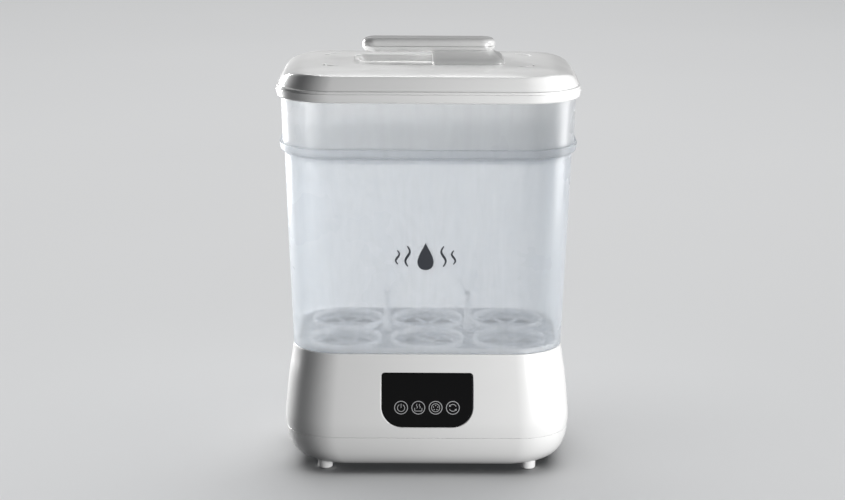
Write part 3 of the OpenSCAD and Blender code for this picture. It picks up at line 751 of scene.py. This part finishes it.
ped_rings = [outline(SPLIT_X, a, b, 3.4, r, z, nc=16, nl=12, ns=8) for a, b, r, z in ped]
pedestal = loft("pedestal", ped_rings)
cut(lower, [pedestal], "UNION")
cut(lower, [loft("hole", [circle(x, 0, 2.1, 390, 32), circle(x, 0, 2.1, 404.8, 32)]) for x in (22, 52)])
tidy(lower)
piece(lower, "lid", white, ["handle_base"], angle=36)

cap_prof = catmull([(63.8, 15.0, 13.0, 410.2), (63.8, 15.0, 13.0, 411.6), (63.6, 14.8, 12.8, 413.0), (62.9, 14.1, 12.2, 414.4),
                    (61.6, 12.8, 11.1, 415.6), (59.8, 11.0, 9.6, 416.45), (57.6, 8.8, 7.8, 416.88), (54.8, 6.0, 5.4, 416.99)], 5)
rings_ = [rr(63.8 - i, 15.0 - i, 13.0 - i, 409.65 + 0.02 - i * 0.04, **NG) for i in (0.45, 0.12)]
rings_ += [rr(63.8, 15.0, 13.0, 409.78, **NG)] + [rr(a, b, r, z, **NG) for a, b, r, z in cap_prof]
rings_ += [rr(50.0, 3.0, 2.6, 417.0, **NG)]
cap = loft("grip_cap", rings_)
piece(cap, "lid", white, ["handle_cap"], angle=40)

# ------------------------------------------------------------------ tray and chamber
NT = dict(nc=22, nl=16, ns=8)
tray_prof = fillet([(13.2, 309.4, 0), (13.2, 307.6, 0.5), (10.9, 307.6, 1.0), (10.4, 312.9, 1.2), (6.35, 314.5, 0.9), (6.0, 323.0, 3),
                    (4.5, 372.6, 0.6), (6.7, 372.6, 0.6), (8.4, 318.2, 2.0), (10.5, 314.6, 2.0), (14.0, 312.0, 1.5), (20, 312.0, 0)], 4)
tray = loft("tray", [ring(i, z, **NT) for i, z in tray_prof])
slots = []
for x in range(-96, 97, 24):
    for y in range(-48, 49, 24):
        if abs(x) > 90 and abs(y) > 40:
            continue
        slots.append(loft("slot", [outline(x - 8.6, x + 8.6, 2.6, 2.59, 2.59, z, nc=6, nl=2, ns=1, yc=y) for z in (300, 320)]))
cut(tray, [join("slots", slots)])
tidy(tray)
piece(tray, "tray", frost_tray, ["upper_tray"], angle=34)

t = 2.2
outer = fillet([(14.4, 122.4, 0.5), (14.1, 132.0, 0)], 1)
chamber_prof = fillet([(15.5, 122.4, 0), (14.42, 122.4, 0.4), (14.1, 132.0, 20), (9.5, 256.0, 60), (7.6, 313.1, 0.5), (7.15, 314.7, 0.9), (4.45, 315.25, 0.5),
                       (4.0, 316.2, 0.6), (2.9, 322.9, 0.5), (5.2, 322.9, 0.5), (5.6, 313.9, 0.9), (9.6, 312.1, 1.0), (9.9, 310.6, 1.0), (11.7, 256.0, 60),
                       (16.3, 132.0, 20), (16.6, 122.4, 0.4), (15.5, 122.4, 0)], 5)[:-1]
chamber = loft("chamber_shell", [ring(i, z, **NT) for i, z in chamber_prof], closed=True)
piece(chamber, "chamber", frost, ["chamber"], angle=34)


# generic mark on the front of the chamber: a drop between rising vapour lines
def wall_y(z):
    return -(B0 - (14.1 + (9.5 - 14.1) * (z - 132.0) / 124.0)) if z < 256 else -(B0 - (9.5 + (7.6 - 9.5) * (z - 256.0) / 57.1))


def flat_print(name, shapes, place_point, thick):
    """Closed thin solids from 2D outlines; place_point(u, v, h) gives where a point goes."""
    bm = bmesh.new()
    for shape in shapes:
        lo = [bm.verts.new(Vector(place_point(u, v, 0.0)) * MM) for u, v in shape]
        hi = [bm.verts.new(Vector(place_point(u, v, thick)) * MM) for u, v in shape]
        n = len(shape)
        for k in range(n):
            k2 = (k + 1) % n
            bm.faces.new((lo[k], lo[k2], hi[k2], hi[k]))
        f1 = bm.faces.new(hi)
        f2 = bm.faces.new(list(reversed(lo)))
        bm.normal_update()
        bmesh.ops.triangulate(bm, faces=[f1, f2])
    bmesh.ops.recalc_face_normals(bm, faces=bm.faces)
    return new_object(name, bm)


def ribbon(points, width, caps=6):
    """Outline of a stroke with round ends along points."""
    pts = [Vector(p) for p in points]
    left, right = [], []
    for i, p in enumerate(pts):
        d = (pts[min(i + 1, len(pts) - 1)] - pts[max(i - 1, 0)]).normalized()
        nrm = Vector((-d.y, d.x))
        w = width(i / (len(pts) - 1)) / 2 if callable(width) else width / 2
        left.append(p + nrm * w)
        right.append(p - nrm * w)

    def end(centre, start, sign):
        out = []
        s = start - centre
        for k in range(1, caps):
            a = -math.pi * k / caps * sign
            out.append(centre + Vector((s.x * math.cos(a) - s.y * math.sin(a), s.x * math.sin(a) + s.y * math.cos(a))))
        return out

    loop = left + end(pts[-1], left[-1], 1) + list(reversed(right)) + end(pts[0], right[0], 1)
    return [(p.x, p.y) for p in loop]


def drop(cx, cy, w, h, n=48):
    """Drop outline: a round foot that draws up into a point."""
    pts = []
    for k in range(n):
        a = 2 * math.pi * k / n
        y = -math.cos(a)
        x = math.sin(a) * math.sqrt(max(0.0, 1 - y * y)) ** 0.0
        taper = (0.5 * (1 - y)) ** 0.78
        pts.append((cx + math.sin(a) * taper * w / 2 * 1.16, cy + y * h / 2))
    return pts


def wave(cx, cy, h, amp, n=22):
    return [(cx + amp * math.sin(2 * math.pi * k / n), cy - h / 2 + h * k / n) for k in range(n + 1)]


mark = [drop(-2.0, 219.5, 19.0, 27.0)]
for s, off in ((-1, 17.0), (1, 17.0)):
    mark.append(ribbon(wave(-2.0 + s * off, 219.5, 19.0, 2.1 * s), lambda u: 2.4 - 1.1 * abs(2 * u - 1)))
    mark.append(ribbon(wave(-2.0 + s * (off + 9.5), 218.5, 13.0, 1.7 * s), lambda u: 2.1 - 1.0 * abs(2 * u - 1)))
mark_ob = flat_print("front_mark", mark, lambda u, v, h: (u, wall_y(v) - 0.03 - h, v), 0.10)
piece(mark_ob, "chamber", mark_ink, angle=40, weighted=False)

# ------------------------------------------------------------------ base
base_outer = fillet([(7.6, 39.9, 0), (7.05, 39.9, 0.3), (6.96, 40.6, 0)], 3) + catmull(
    [(6.95, 40.8), (6.5, 45.0), (6.2, 52.0), (6.8, 62.0), (7.7, 72.0), (8.7, 82.0), (9.8, 92.0), (11.2, 102.0), (12.7, 111.0), (14.0, 121.0)], 4)
base_top = fillet([(14.0, 121.0, 0), (14.15, 122.0, 0.7), (17.2, 122.0, 0.4), (17.6, 126.6, 0.5), (19.2, 126.6, 0.5), (19.2, 112.5, 2.0), (24.0, 112.5, 0)], 4)
base_in = [(24.0, 109.5), (17.0, 109.5), (15.4, 104.0), (13.0, 92.0), (10.8, 72.0), (9.5, 52.0), (9.9, 40.4), (9.5, 39.9)]
NB = dict(nc=26, nl=20, ns=10)
housing = loft("housing", [ring(i, z, **NB) for i, z in base_in + base_outer + base_top[1:]])

LENS_M = Matrix.Translation((0, -(B0 - 8.9), LENS_Z)) @ Matrix.Rotation(math.radians(90 - LEAN), 4, "X")


def back_matrix(x, z, y):
    return Matrix.Translation((x, y, z)) @ Matrix.Rotation(math.pi, 4, "Z") @ Matrix.Rotation(math.radians(86), 4, "X")


def lens_outline(off, z, n1=10, n2=22, m=10, bow=0.35):
    """Outline of the lens pulled in by off: small corners above and large corners below, straight sides; bow is not
    used.
    """
    a, h, r1, r2 = LENS_A - off, LENS_H - 2 * off, 3.0 - off * 0.8, 20.0 - off
    pts = []
    for cx, cy, r, t0, n in ((a - r1, h / 2 - r1, r1, 0, n1), (-a + r1, h / 2 - r1, r1, 90, n1),
                             (-a + r2, -h / 2 + r2, r2, 180, n2), (a - r2, -h / 2 + r2, r2, 270, n2)):
        seg = [(cx + r * math.cos(math.radians(t0 + 90 * k / n)), cy + r * math.sin(math.radians(t0 + 90 * k / n))) for k in range(n + 1)]
        if pts:
            px, py = pts[-1]
            for k in range(1, m):
                pts.append((px + (seg[0][0] - px) * k / m, py + (seg[0][1] - py) * k / m))
        pts += seg
    px, py = pts[-1]
    for k in range(1, m):
        pts.append((px + (pts[0][0] - px) * k / m, py + (pts[0][1] - py) * k / m))
    return [(x, y, z) for x, y in pts]


frame_block = loft("lens_frame", [lens_outline(-4.0, -5.4), lens_outline(-4.0, -2.6)], place=LENS_M)
cut(housing, [frame_block], "UNION")
more = [box_ob("sleeve", (BAY[0] - 36, 54, BAY[1] - 20), (BAY[0] + 36, 85.2, BAY[1] + 19.5)),
        box_ob("inlet_boss", (INLET[0] - 20, 76, INLET[1] - 16), (INLET[0] + 20, 84.3, INLET[1] + 16))]
cut(housing, more, "UNION")
cut(housing, [
    loft("pocket", [lens_outline(-0.22, -2.2), lens_outline(-0.22, -0.42), lens_outline(-0.32, -0.18), lens_outline(-0.62, 0.12), lens_outline(-1.4, 0.9), lens_outline(-1.4, 6.0)], place=LENS_M),
    loft("window", [lens_outline(3.0, -12), lens_outline(3.0, 2)], place=LENS_M),
    box_ob("bay", (BAY[0] - 34.5, 50, BAY[1] - 18.5), (BAY[0] + 34.5, 95, BAY[1] + 18)),
    loft("bay_mouth", [rr(37.2, 20.7, 4.2, z, nc=6, nl=2, ns=2) for z in (-2.4, 10)], place=back_matrix(BAY[0], BAY[1], B0 - 7.45)),
    loft("inlet_mouth", [[(INLET[0] + x, y, INLET[1] + z) for x, z, _ in rr(17.2, 13.2, 2.4, 0, nc=6, nl=2, ns=2)] for y in (85.2, 95.0)]),
    box_ob("inlet_hole", (INLET[0] - 14, 70, INLET[1] - 10), (INLET[0] + 14, 90, INLET[1] + 10)),
    loft("plate_hole", [circle(PLATE_X, 0, 57, 100, 96), circle(PLATE_X, 0, 57, 112.0, 96), circle(PLATE_X, 0, 57.6, 112.7, 96), circle(PLATE_X, 0, 57.6, 118, 96)]),
    box_ob("duct_hole", (DUCT[0], DUCT[1], 100), (DUCT[2], DUCT[3], 120)),
])
vents = []
for k in range(8):
    x = -28 + 5 * k
    rows = []
    for y, g in ((75.0, 0.0), (85.55 + 0.0, 0.0), (86.6, 0.25), (95.0, 1.4)):
        rows.append([(x + px, y, 74 + pz) for px, pz, _ in rr(1.2 + g, 11.2 + g, 1.19 + g, 0, nc=6, nl=1, ns=4)])
    vents.append(loft("vent", rows))
cut(housing, [join("vents", vents)])
tidy(housing)
piece(housing, "base", white, ["base_housing"], angle=34)

cover_out = catmull([(26.0, 7.8), (23.6, 8.6), (21.4, 9.75), (18.0, 12.2), (14.9, 15.6), (12.2, 19.8), (10.2, 24.5), (8.6, 30.0), (7.6, 35.0), (7.05, 39.2)], 4)
cover_top = fillet([(7.05, 39.2, 0), (7.02, 39.72, 0.3), (10.3, 39.72, 0.2), (10.4, 43.0, 0.3), (11.6, 43.0, 0.3), (11.6, 38.0, 0)], 3)
cover_in = [(11.0, 31.6), (12.8, 25.4), (16.4, 19.0), (20.5, 14.6), (28.0, 10.4)]
cover = loft("bottom_shell", [ring(i, z, **NB) for i, z in [(30.0, 7.8)] + cover_out + cover_top[1:] + cover_in])
feet_xy = [(x * 99.5, y * 57.0) for x in (-1, 1) for y in (-1, 1)]
cut(cover, [loft("boss", [circle(x, y, 9.6, 9.6, 48), circle(x, y, 9.6, 13.4, 48)]) for x, y in feet_xy], "UNION")
holes = []
for x, y in feet_xy:
    holes.append(loft("h", [circle(x, y, 7.6, 5, 48), circle(x, y, 7.6, 11.4, 48)]))
for x, y in ((106, 30), (-106, 30), (-106, -30), (106, -30)):
    holes.append(loft("h", [circle(x, y, 4.0, 5, 32), circle(x, y, 4.0, 13, 32)]))
for k in range(10):
    x = 44 - 27 + 6 * k
    holes.append(loft("h", [outline(x - 1.4, x + 1.4, 13.4, 1.39, 1.39, z, nc=6, nl=1, ns=3, yc=-30) for z in (0, 20)]))
cut(cover, [join("cover_holes", holes)])
tidy(cover)
piece(cover, "base", white, ["bottom_cover"], angle=34)

foot_obs = []
for x, y in feet_xy:
    prof = fillet([(5.6, 0.6, 0), (6.4, 0.6, 0.3), (7.1, 1.5, 0.8), (7.3, 11.3, 0), (0, 11.3, 0)], 5)
    prof = [(0.0, 2.4), (5.6, 2.4)] + prof
    foot_obs.append(lathe("foot", prof, (x, y), 56))
piece(join("foot_sleeves", foot_obs), "base", white, ["feet"], angle=38)
pad_obs = []
for x, y in feet_xy:
    prof = fillet([(0.0, 0.35, 0), (2.2, 0.35, 0.2), (2.6, 0.0, 0.3), (5.5, 0.0, 0.7), (5.5, 2.3, 0), (0, 2.3, 0)], 4)
    pad_obs.append(lathe("pad", prof, (x, y), 48))
piece(join("foot_soles", pad_obs), "base", pads, ["foot_pads"], angle=38)

# ------------------------------------------------------------------ lens and icons
lens_rows = [lens_outline(0.0, -1.9), lens_outline(0.0, -0.42), lens_outline(0.04, -0.22), lens_outline(0.14, -0.05), lens_outline(0.3, 0.08), lens_outline(0.5, 0.16), lens_outline(0.75, 0.2), lens_outline(3.0, 0.2)]
lens = loft("lens", lens_rows, place=LENS_M)
piece(lens, "base", black_gloss, ["touch_panel"], angle=40)


def arc_pts(cx, cy, r, a0, a1, n=24):
    return [(cx + r * math.cos(math.radians(a0 + (a1 - a0) * k / n)), cy + r * math.sin(math.radians(a0 + (a1 - a0) * k / n))) for k in range(n + 1)]


def ring_strokes(cx, cy, r, w, n=64):
    """A ring as two half strokes that meet, so that each shape is one simple outline."""
    out = []
    for a0 in (0, 180):
        o = arc_pts(cx, cy, r + w / 2, a0, a0 + 180, n // 2)
        i = arc_pts(cx, cy, r - w / 2, a0 + 180, a0, n // 2)
        out.append(o + i)
    return out


def icon_shapes():
    w = 0.6
    sh = []
    xs = [k * 16.6 for k in (-1.5, -0.5, 0.5, 1.5)]
    y0 = -7.2
    for x in xs:
        sh += ring_strokes(x, y0, 6.25, 0.7)
    # power
    x = xs[0]
    sh.append(ribbon(arc_pts(x, y0 - 0.35, 3.5, 122, 418, 34), w))
    sh.append(ribbon([(x, y0 - 0.1), (x, y0 + 1.6), (x, y0 + 3.6)], w))
    # vessel with vapour
    x = xs[1]
    sh.append(ribbon([(x - 3.5, y0 - 0.4), (x - 3.5, y0 - 2.4)] + arc_pts(x - 2.7, y0 - 2.5, 0.8, 180, 270, 6) + arc_pts(x + 2.7, y0 - 2.5, 0.8, 270, 360, 6)
                     + [(x + 3.5, y0 - 2.4), (x + 3.5, y0 - 0.4)], w))
    for d in (-1.35, 1.35):
        sh.append(ribbon(wave(x + d, y0 + 1.5, 4.0, 0.5, 14), w * 0.9))
    # drying fan: a ring with five vents
    x = xs[2]
    sh += ring_strokes(x, y0, 3.95, 0.55)
    for k in range(5):
        a = math.radians(90 + 72 * k)
        c = Vector((x + 2.2 * math.cos(a), y0 + 2.2 * math.sin(a)))
        sh.append(arc_pts(c.x, c.y, 0.55, 0, 345, 18))
    # automatic cycle: two arrows that chase each other
    x = xs[3]
    for a0 in (25, 205):
        sh.append(ribbon(arc_pts(x, y0, 3.4, a0, a0 + 115, 20), w))
        a = math.radians(a0 + 118)
        tip = Vector((x + 3.4 * math.cos(a), y0 + 3.4 * math.sin(a)))
        tan = Vector((-math.sin(a), math.cos(a)))
        nor = Vector((math.cos(a), math.sin(a)))
        p1, p2, p3 = tip + tan * 1.5, tip + nor * 1.15 - tan * 0.3, tip - nor * 1.15 - tan * 0.3
        sh.append([tuple(p1), tuple(p2), tuple(p3)])
    return sh


def on_lens(u, v, h):
    return LENS_M @ Vector((u, v, 0.205 + h))


icons = flat_print("icons", icon_shapes(), on_lens, 0.12)
piece(icons, "base", print_grey, ["touch_icons"], angle=40, weighted=False)

# ------------------------------------------------------------------ rack
rack_rings = [rr(124.2, 73.7, 44, 112.9, **NT), rr(124.3, 73.8, 44, 120.6, **NT), rr(124.1, 73.6, 43.8, 121.3, **NT), rr(123.5, 73.0, 43.4, 121.6, **NT),
              rr(110.0, 60.0, 32.0, 121.6, **NT)]
rack_in = [rr(110.0, 60.0, 32.0, 119.2, **NT), rr(122.2, 71.7, 42, 119.2, **NT), rr(122.2, 71.7, 42, 112.9, **NT)]
rack = loft("rack", rack_in + rack_rings)
cups = [(x, y) for x in (-80, 0, 80) for y in (-36, 36)]
cut(rack, [loft("eye", [circle(x, y, 26.6, 117, 72), circle(x, y, 26.6, 119.4, 72), circle(x, y, 26.05, 119.9, 72), circle(x, y, 26.05, 121.1, 72), circle(x, y, 26.6, 121.65, 72), circle(x, y, 26.6, 124, 72)]) for x, y in cups])
for x in (-112, -40, 40, 112):
    for s in (-1, 1):
        yy = s * 62 * (0.12 if abs(x) > 100 else 1)
        drill = loft("slot", [outline(x - 5, x + 5, 2.0, 1.99, 1.99, z, nc=6, nl=1, ns=1, yc=yy) for z in (110, 124)])
        cut(rack, [drill])
bars = []
for x, y in cups:
    for tdeg in (0, 60, 120):
        m = Matrix.Translation((x, y, 0)) @ Matrix.Rotation(math.radians(tdeg), 4, "Z")
        bars.append(box_ob("bar", (-27.5, -1.2, 119.1), (27.5, 1.2, 121.5), 0.5, 2, place=m))
posts = []
for s in (-1, 1):
    px = s * 40.0
    for ang in (0, 90):
        m = Matrix.Translation((px, 0, 0)) @ Matrix.Rotation(math.radians(ang), 4, "Z")
        rows = []
        for f in range(9):
            z = 119.5 + 44.0 * f / 8
            w = 5.0 - 2.4 * (f / 8) ** 0.8
            tk = 1.4 - 0.3 * f / 8
            rows.append(outline(-w, w, tk, 0.6, 0.6, z, nc=4, nl=2, ns=1))
        posts.append(loft("rib", rows, place=m))
    for d in (-1, 1):
        rows = []
        for f in range(13):
            u = f / 12
            z = 161.0 + 17.2 * u
            cx = px + d * (1.2 + 8.0 * u ** 1.15)
            wv = 1.5 * (1 - 0.25 * u)
            rows.append([(cx + qx, qy, z) for qx, qy, _ in rr(wv, 1.1, 0.6, 0, nc=4, nl=1, ns=1)])
        rows.append([(cx + qx * 0.5, qy * 0.5, 179.0) for qx, qy, _ in rr(wv, 1.1, 0.6, 0, nc=4, nl=1, ns=1)])
        posts.append(loft("arm", rows))
rack = join("rack", [tidy(rack)] + bars + posts)
piece(rack, "rack", frost_rack, ["bottle_rack"], angle=34)
ring_prof = fillet([(34.05, 121.64, 0), (35.65, 121.64, 0.2), (35.68, 127.98, 0.55), (34.5, 127.98, 0.5), (34.05, 127.2, 0.4), (34.05, 121.64, 0)], 4)[:-1]
cup_rings = [lathe("cup", ring_prof, (x, y), 72) for x, y in cups]
piece(join("place_rings", cup_rings), "rack", frost_rack, ["rack_rings"], angle=34)


# ------------------------------------------------------------------ drawer, inlet and outlet cap
def drawer():
    m = back_matrix(BAY[0], BAY[1], B0 - 7.45)
    rows = [rr(36.8 - i, 20.3 - i, 4.0 - i * 0.6, z, nc=7, nl=10, ns=6) for i, z in ((0.3, -2.0), (0.0, -1.8), (0.0, -0.6), (0.12, -0.2), (0.45, 0.12), (0.95, 0.27), (1.6, 0.3))]
    plate = loft("filter_cover", rows, place=m)
    tub = box_ob("tub", (BAY[0] - 33.8, 56, BAY[1] - 17.8), (BAY[0] + 33.8, 85.6, BAY[1] + 17), 0.8, 2)
    cut(plate, [tub], "UNION")
    cuts = [box_ob("room", (BAY[0] - 31.8, 50, BAY[1] - 15.8), (BAY[0] + 31.8, 83.4, BAY[1] + 15))]
    slots_ = []
    for k in range(9):
        x = BAY[0] - 27 + 6 * k
        rows_ = []
        for y, g in ((80.0, 0.0), (86.75, 0.0), (87.25, 0.12), (88.6, 1.0), (95.0, 1.0)):
            rows_.append([(x + px, y, BAY[1] - 1.5 + pz) for px, pz, _ in rr(1.2 + g, 9.5 + g, 1.15 + g, 0, nc=6, nl=1, ns=4)])
        slots_.append(loft("s", rows_))
    cuts.append(join("slots_", slots_))
    cuts.append(loft("pull", [[(BAY[0] + px * f, y, BAY[1] + 21.0 + pz * f) for px, pz, _ in rr(9.0, 5.6, 4.0, 0, nc=8, nl=2, ns=2)] for y, f in ((86.0, 0.92), (86.9, 1.0), (95.0, 1.12))]))
    cut(plate, cuts)
    return tidy(plate)


piece(drawer(), "filter", white, ["filter_drawer"], angle=34)


def outlet():
    x0, x1, y0, y1 = DUCT[0] - 2, DUCT[2] + 2, DUCT[1] - 2, DUCT[3] + 2
    cx, cy = (x0 + x1) / 2, (y0 + y1) / 2
    rows = []
    for i, z in ((0.0, 112.56), (0.0, 116.9), (0.2, 117.6), (0.7, 118.05), (1.4, 118.2)):
        rows.append([(cx + px, cy + py, z) for px, py, _ in rr((x1 - x0) / 2 - i, (y1 - y0) / 2 - i, 2.4, 0, nc=6, nl=6, ns=4)])
    o = loft("outlet_hood", rows)
    cuts = [box_ob("in", (DUCT[0], DUCT[1], 100), (DUCT[2], DUCT[3], 116.6))]
    for k in range(6):
        x = DUCT[0] + 2 + 5.6 * k
        cuts.append(box_ob("louvre", (x, DUCT[3] - 4, 113.8), (x + 3.2, DUCT[3] + 5, 116.4), 0.4, 2))
    cut(o, cuts)
    return tidy(o)


piece(outlet(), "base", white_in, ["outlet_cap"], angle=34)

# heating plate: a pressed dish with a soft rim
dish = fillet([(0, 104.0, 0), (50.2, 104.0, 2.0), (54.6, 113.2, 0.8), (62.0, 113.2, 0), (62.0, 114.3, 0.3), (54.0, 114.3, 1.6), (50.6, 105.2, 2.0), (0, 105.2, 0)], 6)
piece(lathe("heating_dish", dish, (PLATE_X, 0), 128), "base", plate_steel, ["heating_plate"], angle=40)


# ------------------------------------------------------------------ CAD nodes that keep their shape
def dress(node, material, bevel=0.0, seg=2, angle=30.0):
    ob = nodes[node]
    ob.data.materials.clear()
    ob.data.materials.append(material)
    if bevel > 0:
        m = ob.modifiers.new("bevel", "BEVEL")
        m.width = bevel * MM
        m.segments = seg
        m.limit_method = "ANGLE"
        m.angle_limit = math.radians(40)
        m.harden_normals = False
    return ob


dress("housing_screws", steel)
dress("touch_board", pcb)
dress("control_board", pcb)
dress("board_parts", dark)
dress("board_screws", steel)
dress("mains_inlet", dark)
dress("inlet_pins", brass)
dress("plate_gasket", silicone)
dress("plate_clamp", steel)
dress("plate_screws", steel)
dress("heating_element", element_steel)
dress("thermostat", dark)
dress("thermal_fuse", ceramic)
dress("fan_housing", dark)
dress("fan_motor", steel)
dress("motor_shaft", steel)
dress("fan_impeller", dark_blade)
dress("air_duct", mid_grey)
dress("air_heater", fins)
dress("air_filter", paper)
dress("handle_screws", steel)

# ------------------------------------------------------------------ floor and light
fl = bpy.data.meshes.new("floor")
fl.from_pydata([(-14, -14, 0), (14, -14, 0), (14, 14, 0), (-14, 14, 0)], [], [(0, 1, 2, 3)])
floor = bpy.data.objects.new("floor", fl)
scene.collection.objects.link(floor)
n = Nodes("floor_paint")
n.set(Base_Color=n.ramp(n.noise(n.coords(), 0.7, 2.0), [(0.3, (0.64, 0.645, 0.65)), (0.7, (0.66, 0.665, 0.67))]), Roughness=0.6)
fl.materials.append(n.m)


def area(name, where, at, size, power, colour=(1, 1, 1), size_y=None):
    d = bpy.data.lights.new(name, "AREA")
    d.shape = "RECTANGLE"
    d.size = size
    d.size_y = size_y or size
    d.energy = power
    d.color = colour
    o = bpy.data.objects.new(name, d)
    scene.collection.objects.link(o)
    o.location = where
    o.rotation_mode = "QUATERNION"
    o.rotation_quaternion = (Vector(at) - Vector(where)).to_track_quat("-Z", "Y")
    o.visible_camera = False
    return o


floor_only = bpy.data.collections.new("floor_only")
floor_only.objects.link(floor)
# the clear mouldings are lit apart from the opaque ones, so that their glow can be balanced by itself
clear_only = bpy.data.collections.new("clear_only")
for o in (chamber, tray, bpy.data.objects["rack"], bpy.data.objects["place_rings"]):
    clear_only.objects.link(o)
solid_only = bpy.data.collections.new("solid_only")
for o in scene.objects:
    if o.type == "MESH" and o is not floor and o.name not in clear_only.objects:
        solid_only.objects.link(o)

area("floor_wash", (0, 2.2, 5.0), (0, 2.2, 0), 7.0, 450.0, size_y=9.0).light_linking.receiver_collection = floor_only
for o in (
    area("key_near", (0.66, -0.60, 0.37), (0.0, 0.0, 0.22), 0.34, 3.5, size_y=0.56),
    area("key_low", (0.75, -0.75, 0.18), (0, 0, 0.12), 0.5, 7.2, size_y=0.25),
    area("top_right", (0.75, -0.05, 0.85), (0.02, 0, 0.39), 0.3, 3.2, size_y=0.3),
    area("rim_left", (-0.80, 0.75, 0.37), (0, 0, 0.22), 0.22, 28.0, size_y=1.0),
    area("side_left", (-0.90, 0.35, 0.20), (0, 0, 0.15), 0.25, 1.6, size_y=0.3),
    area("back_mid", (0.0, 1.3, 0.80), (0, 0, 0.35), 0.6, 0.35, size_y=0.3),
):
    o.light_linking.receiver_collection = solid_only
# the light over the lid is flagged off the grip and its pedestal
lid_top = bpy.data.collections.new("lid_top")
for o in solid_only.objects:
    if o is not cap and o is not lower:
        lid_top.objects.link(o)
grip_only = bpy.data.collections.new("grip_only")
grip_only.objects.link(lower)
area("low_left", (-0.90, -0.05, 0.44), (0, 0, 0.40), 0.35, 7.0, size_y=0.10).light_linking.receiver_collection = grip_only
area("top_back", (-0.10, 0.60, 1.1), (0, 0, 0.38), 0.5, 5.6, size_y=0.5).light_linking.receiver_collection = lid_top
for o in (
    area("glow_right", (0.80, 0.10, 0.24), (0, 0, 0.23), 0.35, 4.2, size_y=0.35),
    area("glow_rim", (-0.80, 0.75, 0.37), (0, 0, 0.22), 0.22, 18.0, size_y=1.0),
    area("glow_front_left", (-0.75, -0.55, 0.26), (0, 0, 0.25), 0.35, 3.5, size_y=0.35),
    area("glow_front", (-0.1, -1.4, 0.35), (0, 0, 0.25), 0.5, 8.0, size_y=0.5),
):
    o.light_linking.receiver_collection = clear_only
floor.visible_diffuse = False

world = bpy.data.worlds.new("world")
scene.world = world
world.use_nodes = True
world.node_tree.nodes["Background"].inputs[0].default_value = (0.88, 0.90, 0.93, 1)
world.node_tree.nodes["Background"].inputs[1].default_value = 0.07

scene.view_settings.view_transform = "Standard"
scene.view_settings.look = "None"
scene.view_settings.exposure = 0.0
scene.cycles.transparent_max_bounces = 24
scene.cycles.max_bounces = 10
